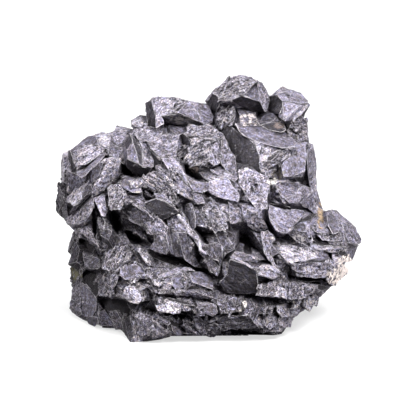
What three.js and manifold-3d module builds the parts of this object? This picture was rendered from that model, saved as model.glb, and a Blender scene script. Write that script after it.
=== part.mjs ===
// Galena specimen: a hand-sized cluster of intergrown, skeletal galena crystals on a massive galena base.
// Everything grew together, so the whole cluster is one closed solid, with a flat broken face underneath.
import * as THREE from "three";
import { ConvexGeometry } from "three/addons/geometries/ConvexGeometry.js";
import { mergeVertices } from "three/addons/utils/BufferGeometryUtils.js";
import Module from "manifold-3d";

// ---- driving dimensions, in millimetres and degrees ----
// Corners are given as [right, up, front]: right across the cluster's face, up along it, and front out
// of it. The face leans back by leanBack from the upright.
const leanBack = 15;
const baseCut = 6.4; // height at which the underside is broken off flat
const clusterMiddle = [0, 42];
const skirtGrowth = 6; // how much further out a crystal reaches at its root
const skirtLean = 0.12; // how far its root leans towards the cluster's middle
const skirtDepth = 6.5; // how far in its root lies
const hollowReach = 12; // how far a hollow's cutter stands out past its mouth
const hollowFlare = 1.5; // how much wider it is out there
const hollowTaper = 0.3; // and how much narrower on its floor
const rimTurn = 30; // the most that a rim crystal turns about each axis
const rimCut = 1.15; // corners cut off by an octahedron this many edges in radius
const cleavageTurn = [14, -26, 9]; // turn of the cleavage blocks on the back, about X, Y and Z
const cleavageSize = [18, 17, 13];
const cleavageSizeSpread = 0.4; // the most that a block's side differs from that, as a share of it
const cleavagePitch = 15; // from one block to the next along a row
const cleavageShift = 3; // the most that a block strays from its place
const cleavageRows = { first: 24, last: 68, step: 11, halfWidth: 32, narrowsAbove: 40, narrowing: 0.45 };
const cleavageBulge = { depth: 25, halfWidth: 54, middleHeight: 38, halfHeight: 60 };
const undersideSize = [200, 200, 60];
const seed = 11;

const wasm = await Module();
wasm.setup();

// ---- the frame in which the cluster stands upright on its broken face ----
const xAxis = new THREE.Vector3(1, 0, 0);

function upright([right, up, front]) {
  const point = new THREE.Vector3(right, -front, up);
  point.applyAxisAngle(xAxis, -THREE.MathUtils.degToRad(leanBack));
  point.z -= baseCut;
  return point;
}

function turned(angles) {
  return new THREE.Matrix4().makeRotationFromEuler(new THREE.Euler(...angles.map(THREE.MathUtils.degToRad)));
}

// Repeatable random numbers from -1 to 1 (a 32-bit mixing generator).
function randomSource(start) {
  let state = start;
  return () => {
    state = (state + 0x6d2b79f5) | 0;
    let mixed = Math.imul(state ^ (state >>> 15), 1 | state);
    mixed = (mixed + Math.imul(mixed ^ (mixed >>> 7), 61 | mixed)) ^ mixed;
    return ((mixed ^ (mixed >>> 14)) >>> 0) / 2147483648 - 1;
  };
}

const random = randomSource(seed);

// ---- solids ----
function toSolid(geometry) {
  geometry.deleteAttribute("normal");
  geometry.deleteAttribute("uv");
  const merged = mergeVertices(geometry, 1e-4);
  const vertProperties = Float32Array.from(merged.attributes.position.array);
  const triVerts = Uint32Array.from(merged.index.array);
  return new wasm.Manifold(new wasm.Mesh({ numProp: 3, vertProperties, triVerts }));
}

function toGeometry(solid) {
  const mesh = solid.getMesh();
  const geometry = new THREE.BufferGeometry();
  geometry.setAttribute("position", new THREE.BufferAttribute(Float32Array.from(mesh.vertProperties), 3));
  geometry.setIndex(new THREE.BufferAttribute(Uint32Array.from(mesh.triVerts), 1));
  return geometry;
}

// A body with flat facets between its own corners.
function faceted(corners) {
  return toSolid(new ConvexGeometry(corners.map(upright)));
}

// The middle of a row of corners, as seen from the front.
function middleOf(corners) {
  return [0, 1].map((axis) => corners.reduce((sum, corner) => sum + corner[axis], 0) / corners.length);
}

// One crystal: flat facets between its corners, widening and leaning towards the cluster's middle as it
// goes in to where it grew from.
function crystal(corners) {
  const [middleRight, middleUp] = middleOf(corners);
  const rootRight = middleRight + (clusterMiddle[0] - middleRight) * skirtLean;
  const rootUp = middleUp + (clusterMiddle[1] - middleUp) * skirtLean;
  const reach = Math.max(...corners.map(([right, up]) => Math.hypot(right - middleRight, up - middleUp)));
  const spread = 1 + skirtGrowth / reach;
  const skirt = corners.map(([right, up, front]) => [
    rootRight + (right - middleRight) * spread,
    rootUp + (up - middleUp) * spread,
    front - skirtDepth,
  ]);
  return faceted([...corners, ...skirt]);
}

// ---- the massive galena that all the crystals grow from ----
const core = [
  [-24, -1, 15], [22, -1, 14], [-38, 6, -8], [26, 4, -6], [-32, 9, -20], [20, 9, -22],
  [-43, 28, -10], [-38, 28, 5], [-20, 28, 19], [18, 28, 19], [37, 28, 8], [40, 28, -8],
  [30, 28, -20], [0, 28, -26], [-36, 28, -20],
  [-45, 42, -8], [-40, 42, 4], [-20, 42, 15], [16, 42, 17], [34, 42, 5], [28, 42, -21], [-36, 42, -18],
  [-42, 58, -8], [-36, 58, 2], [-16, 58, 9], [12, 58, 11], [30, 58, 3], [32, 58, -12], [24, 58, -20],
  [-4, 58, -22], [-34, 58, -16],
  [-16, 74, -6], [-6, 75, -2], [12, 76, -3], [28, 75, -6], [28, 74, -16], [4, 75, -16], [-14, 73, -14],
  [6, 82, -8], [15, 82, -8], [26, 81, -10], [10, 81, -14],
];

// ---- crest: the tall crystals along the top, each with its own shape ----
const crest = [
  // long crystal on the left of the crest, with a sharp overhanging lower edge
  [[-18.5, 81.7, 0], [-11.5, 81.6, 0], [-6.2, 80.2, 1], [-1, 79.1, 0], [0.5, 78.5, -2], [2, 74.5, -1],
    [-21, 79.2, -5], [-20.2, 72, 0], [-15.2, 75, 8], [-9.7, 76.2, 8.5], [-2, 73.2, 7], [-17.3, 71.5, 5.5],
    [-12, 72.4, 2], [-4, 72.3, 1], [-18, 79, -13], [-3, 77, -15], [-8, 66, -12]],
  // small wedge under it
  [[-15, 73.4, 3], [-7, 71.4, 6], [-9, 68.9, 9], [-10, 68.2, 9.5], [-13.5, 69.4, 7], [-10, 70, -6]],
  // low shoulder crystals to its left
  [[-25.7, 72, -4], [-25.6, 74, -5], [-22.7, 75.5, -5], [-20.4, 75.6, -3], [-22.3, 72.2, 2],
    [-24, 70, 2], [-20, 71, 3], [-22, 72, -14], [-21, 68, -10]],
  [[-26.5, 69.6, -1], [-24.5, 71, 1], [-19, 71.5, 4], [-20, 66.5, 9], [-24, 67, 7], [-22, 65, -8]],
  // highest crystal, with a broad striated face and a smooth triangular one
  [[2, 84, -3], [4, 86, -4.5], [6.5, 88, -6], [10.7, 89.5, -7], [14, 88.6, -6.5], [16, 87.5, -5],
    [18.3, 86.3, -6], [20.6, 81, -3], [19.5, 77.5, 1], [17.3, 79.9, 5], [11.5, 81.8, 6], [8.3, 80.2, 6],
    [4.2, 80.2, 4], [5, 76, 1], [2, 75.5, -4], [0, 79, -6], [-1, 80.6, -7], [1.3, 83, -5],
    [18.8, 77, 0], [16, 76.6, -1], [12, 77.7, -1], [8, 86, -15], [16, 84, -17], [9, 72, -14]],
  // crest crystal on the right, with a steep left face
  [[20.3, 81.5, -6], [22.5, 83, -6], [24, 85, -6.5], [25, 85.4, -7], [31, 83.4, -8], [33.8, 80, -7],
    [34, 79, -7], [24.9, 80, 1], [24.5, 76, 3], [30.3, 78.6, 1], [25.6, 73.5, 6], [20, 78, -3],
    [21.5, 76.8, -1], [33, 77, -5], [32, 74.9, -3], [30, 80, -16], [24, 82, -15], [27, 68, -14]],
  // facets in the hollow between the crest crystals and the block below
  [[15, 74, 3], [18, 75.8, -1], [20, 77.4, -3], [24.6, 76.4, 0], [25.8, 70.5, 5], [23, 69.5, 6],
    [17, 71, 6], [20, 66, -12]],
];

// ---- big smooth blocks on the right, under the crest ----
const rightBlocks = [
  // largest block, with a dark undercut left face
  [[4.6, 70, 6], [8.5, 72.5, 5], [18, 72, 4], [26, 69.3, 2], [29.7, 66.4, 3], [24, 65.8, 10],
    [15.5, 66.5, 13], [16, 62, 15], [17.3, 56.8, 16], [13.5, 56.4, 13], [9.5, 58, 10], [8.5, 62, 8],
    [6, 67, 6], [22, 54, 14], [31, 58, 6], [18, 56, -10]],
  [[16.6, 62.5, 15], [20.5, 65.4, 11.5], [27, 66.4, 7.5], [33, 66.6, 4], [32.8, 61, 8], [26, 60.5, 13],
    [20, 57.5, 16.5], [17.6, 57.5, 16.5], [25, 58, -5]],
  // upright strip along the right edge
  [[32, 66.8, 4], [35, 65.9, -1], [35.8, 63, -3], [36.4, 59.7, -4], [36.5, 50, -3], [34, 49, 6],
    [33.2, 56, 8], [32.4, 62, 7], [34, 64, -13], [35, 52, -15], [27, 58, -16]],
  [[34, 51, 4], [36.3, 51, -2], [37.3, 47, -2], [38.8, 42, -1], [36, 41.5, 9], [33, 45, 11],
    [37, 44, -13], [32, 44, -10]],
  // blunt crystal that stands out to the right
  [[38.2, 42.5, 5], [41, 44.3, 2], [42.8, 44, 2], [45.7, 41.3, 1], [49.3, 38.3, 0], [51, 34, 1],
    [50.9, 33, 2], [44.3, 38, 10], [46, 31.5, 11], [41, 32.2, 13], [37, 35.5, 14.5], [39.5, 40.3, 11],
    [48, 33, -9], [47, 38, -9], [42, 42, -9], [36, 34, -10]],
  // its underside
  [[41, 32, 13], [46, 31.5, 10.5], [50, 32, 1], [48.6, 28.3, 2], [47.9, 27, 3], [45, 26.6, 9],
    [41, 25.6, 14], [47, 29, -8], [36, 27, -8]],
  [[40, 27.4, 15], [44, 26.6, 11], [46.8, 24.7, 4], [45.8, 22.2, 3], [44, 20.8, 4], [41, 18.6, 8],
    [39, 21, 15], [44, 24, -7], [34, 24, -8]],
];

// ---- crystals that crowd against their neighbours ----
const smallCrestCrystals = [
  [[5, 79.5, 0], [8.6, 79, 2], [9, 75, 6], [7.7, 71.6, 8], [3.6, 73, 5]],
  [[10.4, 77.5, 2], [15.7, 76.8, 1], [16, 73.5, 4], [11, 71.8, 8]],
  [[26.4, 71, 2], [28.7, 73.6, 0], [32.8, 73.6, -2], [33.3, 68, -2], [29.5, 66.6, 3], [29.8, 71, 5]],
];

const rightFaceCrystals = [
  [[24, 59.5, 14], [25, 54.6, 15], [30.5, 55, 12.5], [32, 58, 10.5], [31, 61.5, 10.5]],
  [[20.6, 53, 16], [26, 54.4, 14], [34.5, 51, 6], [33, 46.5, 10.5], [25, 46, 17], [30, 50.6, 14.4]],
  [[26.5, 50.4, 15], [31, 50, 12], [32, 46.8, 11.5], [27, 46.2, 16]],
  [[20, 45.3, 18], [27.3, 43.8, 17], [30.4, 41, 16], [25.7, 36.7, 20.5], [22.4, 37.6, 21.5],
    [24.4, 42.8, 20.6]],
  [[27.4, 38.4, 18], [33, 42.5, 12], [38, 40.5, 8], [35, 34, 14], [29, 33.6, 18.5], [32.6, 37.6, 17.6]],
  [[33.8, 34, 16.5], [44, 31.6, 13], [45.4, 29.8, 11.5], [34, 30.6, 17.5]],
  [[35.6, 39, 12], [40, 38.8, 11], [43, 35.5, 11.5], [37, 35.6, 14.5]],
];

const leftWing = [
  [[-46.4, 63, -3], [-40.5, 68.4, -4], [-43.4, 57.6, 7], [-34.4, 62.6, 9], [-36.8, 67, 2], [-41.4, 62, 7.4]],
  [[-38.3, 68.5, -3], [-32, 70.2, -3], [-33.5, 64, 7.5], [-37.4, 65, 5]],
  [[-31.6, 70, -3], [-26.4, 68.8, -2], [-28.2, 62.4, 7], [-32.8, 63.5, 8.5]],
  [[-46, 53.4, 3], [-44.4, 56.4, 5.5], [-34, 61, 12], [-31, 57.6, 14], [-36.5, 51.6, 13],
    [-36.4, 58, 14.4]],
  [[-47.6, 62, -8], [-48.6, 56, -8], [-46.4, 63, -4], [-45.8, 56.4, 1]],
  [[-48.2, 54.5, -6], [-45.6, 56.5, 1], [-44.5, 52.4, 5], [-47, 50.5, 1]],
  [[-50.2, 52.4, -9], [-50.7, 48, -9], [-49.6, 44.4, -8], [-47.6, 47.4, 0]],
  [[-49.2, 43.8, -9], [-47.6, 39.4, -8], [-46.6, 41, 1], [-47.4, 46.4, 0]],
  [[-47.6, 47.2, 2], [-46.3, 48.6, 3.5], [-38.6, 53, 11.5], [-37, 50, 13], [-43.2, 45.6, 10]],
  [[-47.3, 41.2, 2], [-45.7, 40.2, 4.5], [-38.4, 47.4, 11.5], [-38, 43.4, 13.5], [-42.6, 39.4, 10]],
  [[-43.4, 37, 6], [-40, 38.6, 9], [-37.6, 36.6, 12.5], [-35.8, 32.6, 14.5]],
  [[-37.4, 47.6, 13], [-34.2, 48.4, 13.5], [-33.4, 43, 16], [-34.8, 42.4, 16]],
  [[-36.6, 41, 13], [-33.6, 42, 14.5], [-31.6, 36, 16], [-34, 33.2, 16]],
  [[-32.5, 50.8, 14], [-29.6, 52.4, 13.5], [-26.5, 47.8, 18], [-28.4, 44.2, 19.5], [-32, 44.8, 18],
    [-30.4, 48.6, 19]],
  [[-28.4, 54.6, 13.5], [-25.6, 55.6, 13], [-21.8, 51.4, 17.5], [-26.2, 49.2, 18]],
];

const middleCrystals = [
  [[-19.4, 70.6, 6], [-14, 72, 5], [-10.2, 68.4, 10], [-9.8, 61.4, 14.5], [-15.5, 60.2, 15.5],
    [-20, 66, 10.5], [-13.4, 67.4, 12.6]],
  [[-17.4, 58.4, 14.5], [-11, 60.6, 15.5], [-7, 52.4, 20.5], [-12, 48.6, 22], [-19, 50.8, 19.5],
    [-11.4, 56.6, 21.4], [-16, 55, 19.8]],
  [[-11.6, 51.4, 21.5], [-7, 49.6, 22.5], [-10.5, 46, 24.5], [-16.4, 48, 22.5]],
  [[-8.4, 69.4, 8.5], [-5.6, 71.6, 7], [0.6, 72, 7], [3.6, 67.4, 12], [-2.6, 64.8, 14.5]],
  [[-6.4, 64.6, 13.5], [0.6, 66.2, 13], [3.6, 60.6, 18], [-1, 57.8, 20], [-6.4, 59, 18], [1, 62.6, 18.6]],
  [[2.4, 70.6, 9], [5.4, 68.4, 10.5], [8.6, 60.6, 16], [8, 57.4, 18], [5, 60, 17.5]],
  [[-8.6, 57, 17.5], [-2, 53.4, 21], [1.6, 51.4, 22.5], [-4.6, 50.2, 23], [-8, 53.6, 20.5]],
  [[-1.6, 56.4, 19], [6.6, 57, 19], [11.4, 52, 22], [8, 46.8, 25.5], [0.8, 50, 24], [4.6, 53.4, 25]],
  [[10, 56.6, 18], [15, 57.6, 17.5], [19.6, 52.6, 19], [18, 46.6, 22.5], [12, 47, 23.5], [16, 53.6, 23]],
  [[3.2, 46, 25], [9, 45.4, 25], [10.8, 40.4, 27], [7.4, 39.6, 27.5]],
  [[10.8, 46, 23.5], [17.8, 45.6, 22.5], [17.4, 39.8, 25], [12, 40, 26.5], [15.6, 43.4, 26.6]],
];

// The split crystal, and the crystal with a dark overhanging face below it.
const overhangs = [
  [[-25.8, 69.1, 5], [-28.3, 66, 4], [-27.8, 60, 9], [-27.3, 57.5, 10], [-22.7, 54.7, 13],
    [-19.5, 55.7, 14], [-17.6, 58.4, 13], [-18.4, 61.4, 12], [-20.3, 65.4, 9.5], [-24, 68.4, 6],
    [-25.2, 60.4, 16], [-22, 59.4, 17.5], [-24.8, 66.3, 10.5], [-23, 58, -5]],
  [[-20.9, 46.4, 22], [-16.5, 47.8, 22.5], [-9.8, 44.2, 25], [-9.8, 42.6, 24.5], [-12, 42, 22.5],
    [-15.3, 40.8, 20.5], [-19, 42.8, 19], [-15, 45, 4]],
];

// Long narrow crystals that run down to the right.
const blades = [
  [[-27.4, 46, 19], [-24.4, 48.4, 18.5], [-16.6, 42.6, 23.5], [-16, 39.4, 25]],
  [[-27, 41.4, 17.5], [-23.4, 41.8, 19.5], [-14.4, 38, 25], [-14, 34.6, 26.5]],
  [[-4.8, 48.4, 23.5], [-2.4, 48.6, 24], [-1.6, 46.4, 26], [-4, 46.6, 25]],
  [[-1.4, 47.2, 24], [2, 46.8, 25], [6.2, 40.6, 28], [2.6, 37.2, 29.5], [-1.8, 42.4, 27]],
  [[-7.2, 45.8, 23], [-3, 43.8, 25.5], [-0.2, 38.4, 28.5], [-4.6, 39, 26.5]],
  [[-10, 43, 23.5], [-8.4, 43.4, 24], [-3, 35, 28.5], [0, 29.6, 31], [-2.6, 30.8, 30.5]],
  [[-13.2, 40.4, 23], [-10.6, 41.8, 23], [-5, 33.6, 28.5], [-5.8, 28.6, 29], [-11, 30.4, 27.5]],
  [[-17.8, 40, 21.5], [-14.8, 40.8, 22], [-12.2, 31.4, 27.5], [-17.4, 31.2, 25]],
  [[14.6, 36.8, 24], [19.4, 34.4, 25], [23.2, 29.8, 24.5], [20, 28.6, 26.5]],
];

// Short upright columns in the middle of the face.
const columns = [
  [[2.4, 36.8, 27.5], [5, 37.6, 27.5], [4.6, 28.4, 30], [3.6, 24.4, 28.5], [-1.2, 27.4, 29]],
  [[5.2, 37.8, 27], [9, 35.4, 26.5], [8.6, 31, 28.5], [5.4, 29.4, 29.5]],
];

// ---- foot: broken ledges that step down to the right ----
const ledges = [
  [[23.4, 31.4, 23], [34, 30.4, 20], [39.2, 28, 15], [38.6, 23.4, 15], [28, 25, 24], [23.8, 28.2, 25],
    [31, 27.6, 24.4]],
  [[28.4, 25.4, 23], [38, 23.2, 15.5], [36, 21.8, 17.5], [29, 22.4, 23]],
  [[17.6, 20, 27.5], [24, 20.6, 26], [35.6, 18.2, 18], [38, 16.8, 12], [26, 15, 25.5], [17, 16.2, 28.5],
    [27.6, 18, 26.6]],
  [[26, 15.2, 24.5], [34, 14, 15], [31, 13.4, 19.5], [25, 14, 25]],
  [[36, 22, 11], [44.6, 21.4, 4], [41, 18.4, 5], [35.6, 14.2, 7], [30, 11, 10], [28, 16, 14]],
  [[24, 11, 16], [30.4, 10.6, 12], [28, 8, 12], [25.6, 5.6, 16], [22, 6, 18]],
  [[23, 13, 24.5], [31.6, 12, 16], [29, 8.8, 17.5], [24, 9.4, 24.5]],
  [[18.6, 8.6, 25], [25.4, 6.4, 20.5], [23.8, 3.8, 21], [18, 3.8, 22.5]],
  [[7.4, 28.8, 28], [15.6, 24.6, 30], [16, 18.6, 27.5], [6, 17.6, 26.5], [4.4, 23, 27.5],
    [9, 26, 31]],
  [[15, 25.2, 29.5], [22.6, 24.8, 27], [21.6, 21.8, 28.5], [15.4, 22.8, 30.5]],
  [[8.4, 31, 27], [16, 29.2, 27], [17, 27.8, 28.5], [8.8, 28.6, 29.5]],
  [[-19.4, 25, 25], [-8, 26, 25.5], [1.4, 21, 27.5], [-1, 18.4, 29.5], [-17, 19.4, 29.5],
    [-7, 22.4, 30.4]],
  [[-17.6, 18.4, 29], [-4, 17.6, 31], [2.4, 15, 29.5], [-16, 16.8, 29.5]],
  [[-16.6, 15.2, 28.5], [-7, 14.2, 30.5], [-5.8, 11.2, 30.5], [-15.6, 11.6, 29.5]],
  [[-3.8, 14, 29.5], [2.2, 13.6, 29.5], [2.6, 10.2, 29], [-2.8, 10.6, 30]],
  [[3.4, 14, 29], [10.4, 14, 27.5], [10.8, 11, 27.5], [4.4, 10.4, 29]],
  [[11.4, 13.8, 27.5], [20.8, 12.6, 25.5], [20.4, 10, 25.5], [12.4, 10.6, 28]],
  [[2.6, 8.8, 27], [15, 9, 26.5], [16.6, 5.4, 24], [4, 4.6, 23.5]],
  [[-7.4, 7.6, 26], [1.6, 8.2, 27], [2.2, 3.6, 23.5], [-7, 3.4, 23]],
  [[-21.6, 9.8, 23.5], [-12.4, 8.8, 26.5], [-9.4, 3.2, 23.5], [-21.6, 1.4, 23], [-25, 3.6, 20],
    [-17, 6.4, 27.4]],
];

const footBlocks = [
  [[-33.6, 30, 15], [-27, 31, 18.5], [-24.6, 26, 21.5], [-31, 23, 18.5], [-35, 25, 14.5], [-28.6, 27, 20.6]],
  [[-28.4, 27, 20.4], [-22.4, 27.4, 22], [-19.6, 23, 24.4], [-24, 20.4, 25.4], [-28.6, 22.6, 22.6]],
  [[-32, 23, 18.6], [-24.4, 21.4, 24.6], [-21, 17.4, 26.4], [-27.6, 15, 25], [-34, 17, 18]],
  [[-23.4, 32, 21], [-22, 31.6, 22.5], [-18.6, 26, 26], [-20, 25.6, 25]],
  [[-27, 17.4, 24.5], [-20.6, 18.6, 27], [-20.8, 14.4, 27.5], [-26, 15, 25.5]],
  [[-45, 37, -5], [-45.6, 31, -6], [-45.6, 25, -6], [-37.6, 24.6, 9], [-37, 29, 9], [-42, 33.6, 2]],
  [[-41.2, 28.2, 9], [-36.2, 28, 12.5], [-36, 25, 14], [-40.6, 25.6, 10]],
  [[-44.8, 24, -7], [-44.8, 16, -6], [-46.3, 11.6, -8], [-44, 8.6, -3], [-41, 7.2, 1], [-35, 5.6, 9.5],
    [-37.4, 18, 8], [-41.4, 20, 3]],
  [[-36.4, 14, 6], [-28, 13.6, 11.5], [-26.6, 4.8, 13.5], [-35, 5, 8]],
  [[-28, 9, 15], [-22, 8, 20], [-20, 1, 22.6], [-25.4, 0.6, 22], [-28, 4, 15]],
];

// Cubes with their corners cut off by an octahedron, along the rim of the broken back, each given as
// [right, up, front] and the length of its edge.
const rimCrystals = [
  [[-43, 57, -12], 12], [[-34, 61, -13], 13], [[-22, 64, -14], 12], [[-12, 72, -18], 14],
  [[0, 73, -17], 12], [[10, 78, -18], 13], [[21, 76, -18], 12], [[26, 69, -13], 12], [[28, 60, -14], 12],
  [[29, 48, -15], 13], [[38, 36, -11], 12], [[34, 27, -9], 13], [[25, 22, -8], 14], [[-43.5, 47, -15], 12],
  [[-39, 34, -14], 13], [[-37, 21, -14], 14],
];

function rimCrystal([center, edge]) {
  const turn = turned([rimTurn * random(), rimTurn * random(), rimTurn * random()]);
  const place = (geometry) => toSolid(geometry.applyMatrix4(turn).translate(...upright(center).toArray()));
  const cube = place(new THREE.BoxGeometry(edge, edge, edge));
  return cube.intersect(place(new THREE.OctahedronGeometry(edge * rimCut)));
}

// ---- hollows: deep gaps between the crystals, given as a mouth and a floor far behind it ----
const hollows = [
  // large dark hole under the middle crystals
  { mouth: [[10.4, 38], [13.6, 37.4], [14.8, 33], [14.6, 29.6], [11.8, 29.4], [10.4, 33]],
    front: 27, floor: 12 },
  // long gap under the blades, running down to the right
  { mouth: [[-19, 30.6], [-12, 29.6], [-6, 28], [2, 23.4], [4, 20.6], [1.4, 21.6], [-4, 25.6], [-12, 27.4]],
    front: 28, floor: 13 },
  // gaps in the left wing
  { mouth: [[-38.4, 46], [-37, 44.6], [-36.4, 36], [-37.6, 33], [-38.6, 38]], front: 12, floor: 0 },
  { mouth: [[-33.6, 48], [-32.6, 43.6], [-28, 42.6], [-27.4, 37], [-29, 34.4], [-31, 36], [-33, 41]],
    front: 17, floor: 2 },
  { mouth: [[-45, 36], [-41, 35.4], [-37, 31.6], [-38.6, 29.6], [-43, 30]], front: 7, floor: -8 },
  { mouth: [[-31.6, 40], [-25.6, 38], [-20, 34.4], [-17.6, 31.8], [-22, 31.4], [-29, 34]],
    front: 19, floor: 6 },
  // gaps round the split crystal
  { mouth: [[-29.4, 60.6], [-27.8, 59.6], [-26.6, 56.6], [-21, 54.6], [-26, 54.8], [-29.6, 56]],
    front: 12, floor: -2 },
  { mouth: [[-20.8, 51], [-16.4, 50.2], [-15, 48.6], [-20.4, 48.4]], front: 20, floor: 8 },
  // curved gap under the upper middle crystals
  { mouth: [[-9.6, 61], [-7.4, 60], [-6.8, 57], [-3.6, 54.6], [0.4, 53.4], [-4, 53.2], [-8, 55.6]],
    front: 18, floor: 8 },
  // narrow gaps on the right
  { mouth: [[16.4, 41.4], [19.4, 40.6], [22.4, 36.6], [20.6, 36.4]], front: 22, floor: 8 },
  { mouth: [[20, 45.9], [24, 45.8], [27.4, 44.6], [26, 43.8], [21, 45.2]], front: 17, floor: 10 },
  // undercuts between the ledges
  { mouth: [[26, 22.6], [40, 19.8], [40, 18.4], [30, 20.6]], front: 20, floor: 8 },
  { mouth: [[13, 15.8], [22, 16], [28, 14.6], [20, 14]], front: 26, floor: 18 },
  { mouth: [[-18, 17.2], [-9, 14.8], [-3.4, 12.6], [-10, 15.6]], front: 29, floor: 20 },
  { mouth: [[-17, 10.8], [-8, 10], [2, 9.4], [-8, 8.2], [-16, 9.2]], front: 28, floor: 16 },
  { mouth: [[4, 9.8], [16, 9.6], [22, 9], [14, 9.2]], front: 27, floor: 18 },
  // deep overhang at the lower left
  { mouth: [[-35.6, 15.6], [-28, 14.8], [-22, 13.6], [-24.4, 8], [-28, 9], [-34, 12]], front: 18, floor: 9 },
];

function hollow({ mouth, front, floor }) {
  const [middleRight, middleUp] = middleOf(mouth);
  const ring = (scale, depth) =>
    mouth.map(([right, up]) => [
      middleRight + (right - middleRight) * scale,
      middleUp + (up - middleUp) * scale,
      depth,
    ]);
  return faceted([...ring(hollowFlare, front + hollowReach), ...ring(hollowTaper, floor)]);
}

// ---- back: blocks bounded by the three cleavage planes of galena, at right angles to each other ----
function cleavageBlock(right, up) {
  const { depth, halfWidth, middleHeight, halfHeight } = cleavageBulge;
  const bulge = 1 - (right / halfWidth) ** 2 - ((up - middleHeight) / halfHeight) ** 2;
  const center = upright([right, up, cleavageShift * random() - depth * bulge]);
  const size = cleavageSize.map((side) => side * (1 + cleavageSizeSpread * random()));
  const block = new THREE.BoxGeometry(...size);
  return toSolid(block.applyMatrix4(turned(cleavageTurn)).translate(...center.toArray()));
}

function cleavageBlocks() {
  const { first, last, step, halfWidth, narrowsAbove, narrowing } = cleavageRows;
  const blocks = [];
  for (let up = first; up <= last; up += step) {
    const rowHalf = halfWidth - narrowing * Math.max(0, up - narrowsAbove);
    const columnCount = Math.round((2 * rowHalf) / cleavagePitch);
    for (let column = 0; column < columnCount; column += 1) {
      const right = rowHalf * ((2 * column + 1) / columnCount - 1);
      blocks.push(cleavageBlock(right + cleavageShift * random(), up + cleavageShift * random()));
    }
  }
  return blocks;
}

// ---- the whole cluster ----
// Gaps that the crystals closed off between them are solid galena, so only the outermost shell is kept.
function outerShell(solid) {
  return solid.decompose().reduce((outer, shell) => (shell.volume() > outer.volume() ? shell : outer));
}

function cluster() {
  const shaped = [crest, rightBlocks, overhangs].flat().map(faceted);
  const groups = [smallCrestCrystals, rightFaceCrystals, leftWing, middleCrystals, blades, columns, ledges,
    footBlocks];
  const grown = groups.flat().map(crystal);
  const pieces = [...shaped, ...grown, ...rimCrystals.map(rimCrystal), ...cleavageBlocks()];
  const joined = pieces.reduce((whole, piece) => whole.add(piece), faceted(core));
  const opened = hollows.map(hollow).reduce((whole, cutter) => whole.subtract(cutter), joined);
  const underside = new THREE.BoxGeometry(...undersideSize);
  return outerShell(opened.subtract(toSolid(underside.translate(0, 0, -undersideSize[2] / 2))));
}

const geometry = toGeometry(cluster());
geometry.computeBoundingBox();
const middlePoint = geometry.boundingBox.getCenter(new THREE.Vector3());
geometry.translate(-middlePoint.x, -middlePoint.y, 0);

const leadGrey = new THREE.MeshStandardMaterial({ color: 0x8d8c98, roughness: 0.42, metalness: 0.9 });
const galena = new THREE.Mesh(geometry, leadGrey);
galena.name = "galena";

const group = new THREE.Group();
group.add(galena);

export default group;
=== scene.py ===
import math

import bmesh
import bpy
import numpy as np
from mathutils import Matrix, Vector
from mathutils.bvhtree import BVHTree


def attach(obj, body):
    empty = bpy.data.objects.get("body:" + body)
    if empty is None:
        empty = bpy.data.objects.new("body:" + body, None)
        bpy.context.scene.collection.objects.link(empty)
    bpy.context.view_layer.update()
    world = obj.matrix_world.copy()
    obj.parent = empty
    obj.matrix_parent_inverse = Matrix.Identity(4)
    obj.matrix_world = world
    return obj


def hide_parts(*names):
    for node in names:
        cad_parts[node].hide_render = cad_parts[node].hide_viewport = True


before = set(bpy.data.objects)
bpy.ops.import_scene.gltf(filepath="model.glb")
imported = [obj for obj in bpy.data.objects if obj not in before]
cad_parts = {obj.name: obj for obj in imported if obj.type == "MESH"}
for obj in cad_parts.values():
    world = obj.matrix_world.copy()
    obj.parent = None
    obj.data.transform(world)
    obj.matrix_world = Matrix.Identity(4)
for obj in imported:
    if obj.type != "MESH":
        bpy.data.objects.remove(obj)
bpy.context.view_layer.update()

MM = 0.001

# ---------------------------------------------------------------------------------------------------------
# The galena cluster: lead sulphide that grew as one mass of skeletal crystals. Its faces are striated and
# stepped where they grew, and split along cleavage where they broke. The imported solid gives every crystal;
# here its facets are cut finer, broken into cleavage steps and roughened.
# ---------------------------------------------------------------------------------------------------------

# The cluster's own directions: right across its face, up along it and front out of it, in millimetres.
LEAN_BACK = math.radians(15)
RIGHT = Vector((1, 0, 0))
UP = Vector((0, math.sin(LEAN_BACK), math.cos(LEAN_BACK)))
FRONT = Vector((0, -math.cos(LEAN_BACK), math.sin(LEAN_BACK)))
GROWTH_START = Vector((0.231, -11.657, -6.4))


def on_face(right, up, front=0.0):
    return (GROWTH_START + RIGHT * right + UP * up + FRONT * front) * MM


def seen_from_front(points):
    """Right, up and front of each point, in millimetres."""
    away = points / MM - np.array(GROWTH_START)
    return away @ np.array((RIGHT, UP, FRONT)).T


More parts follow.
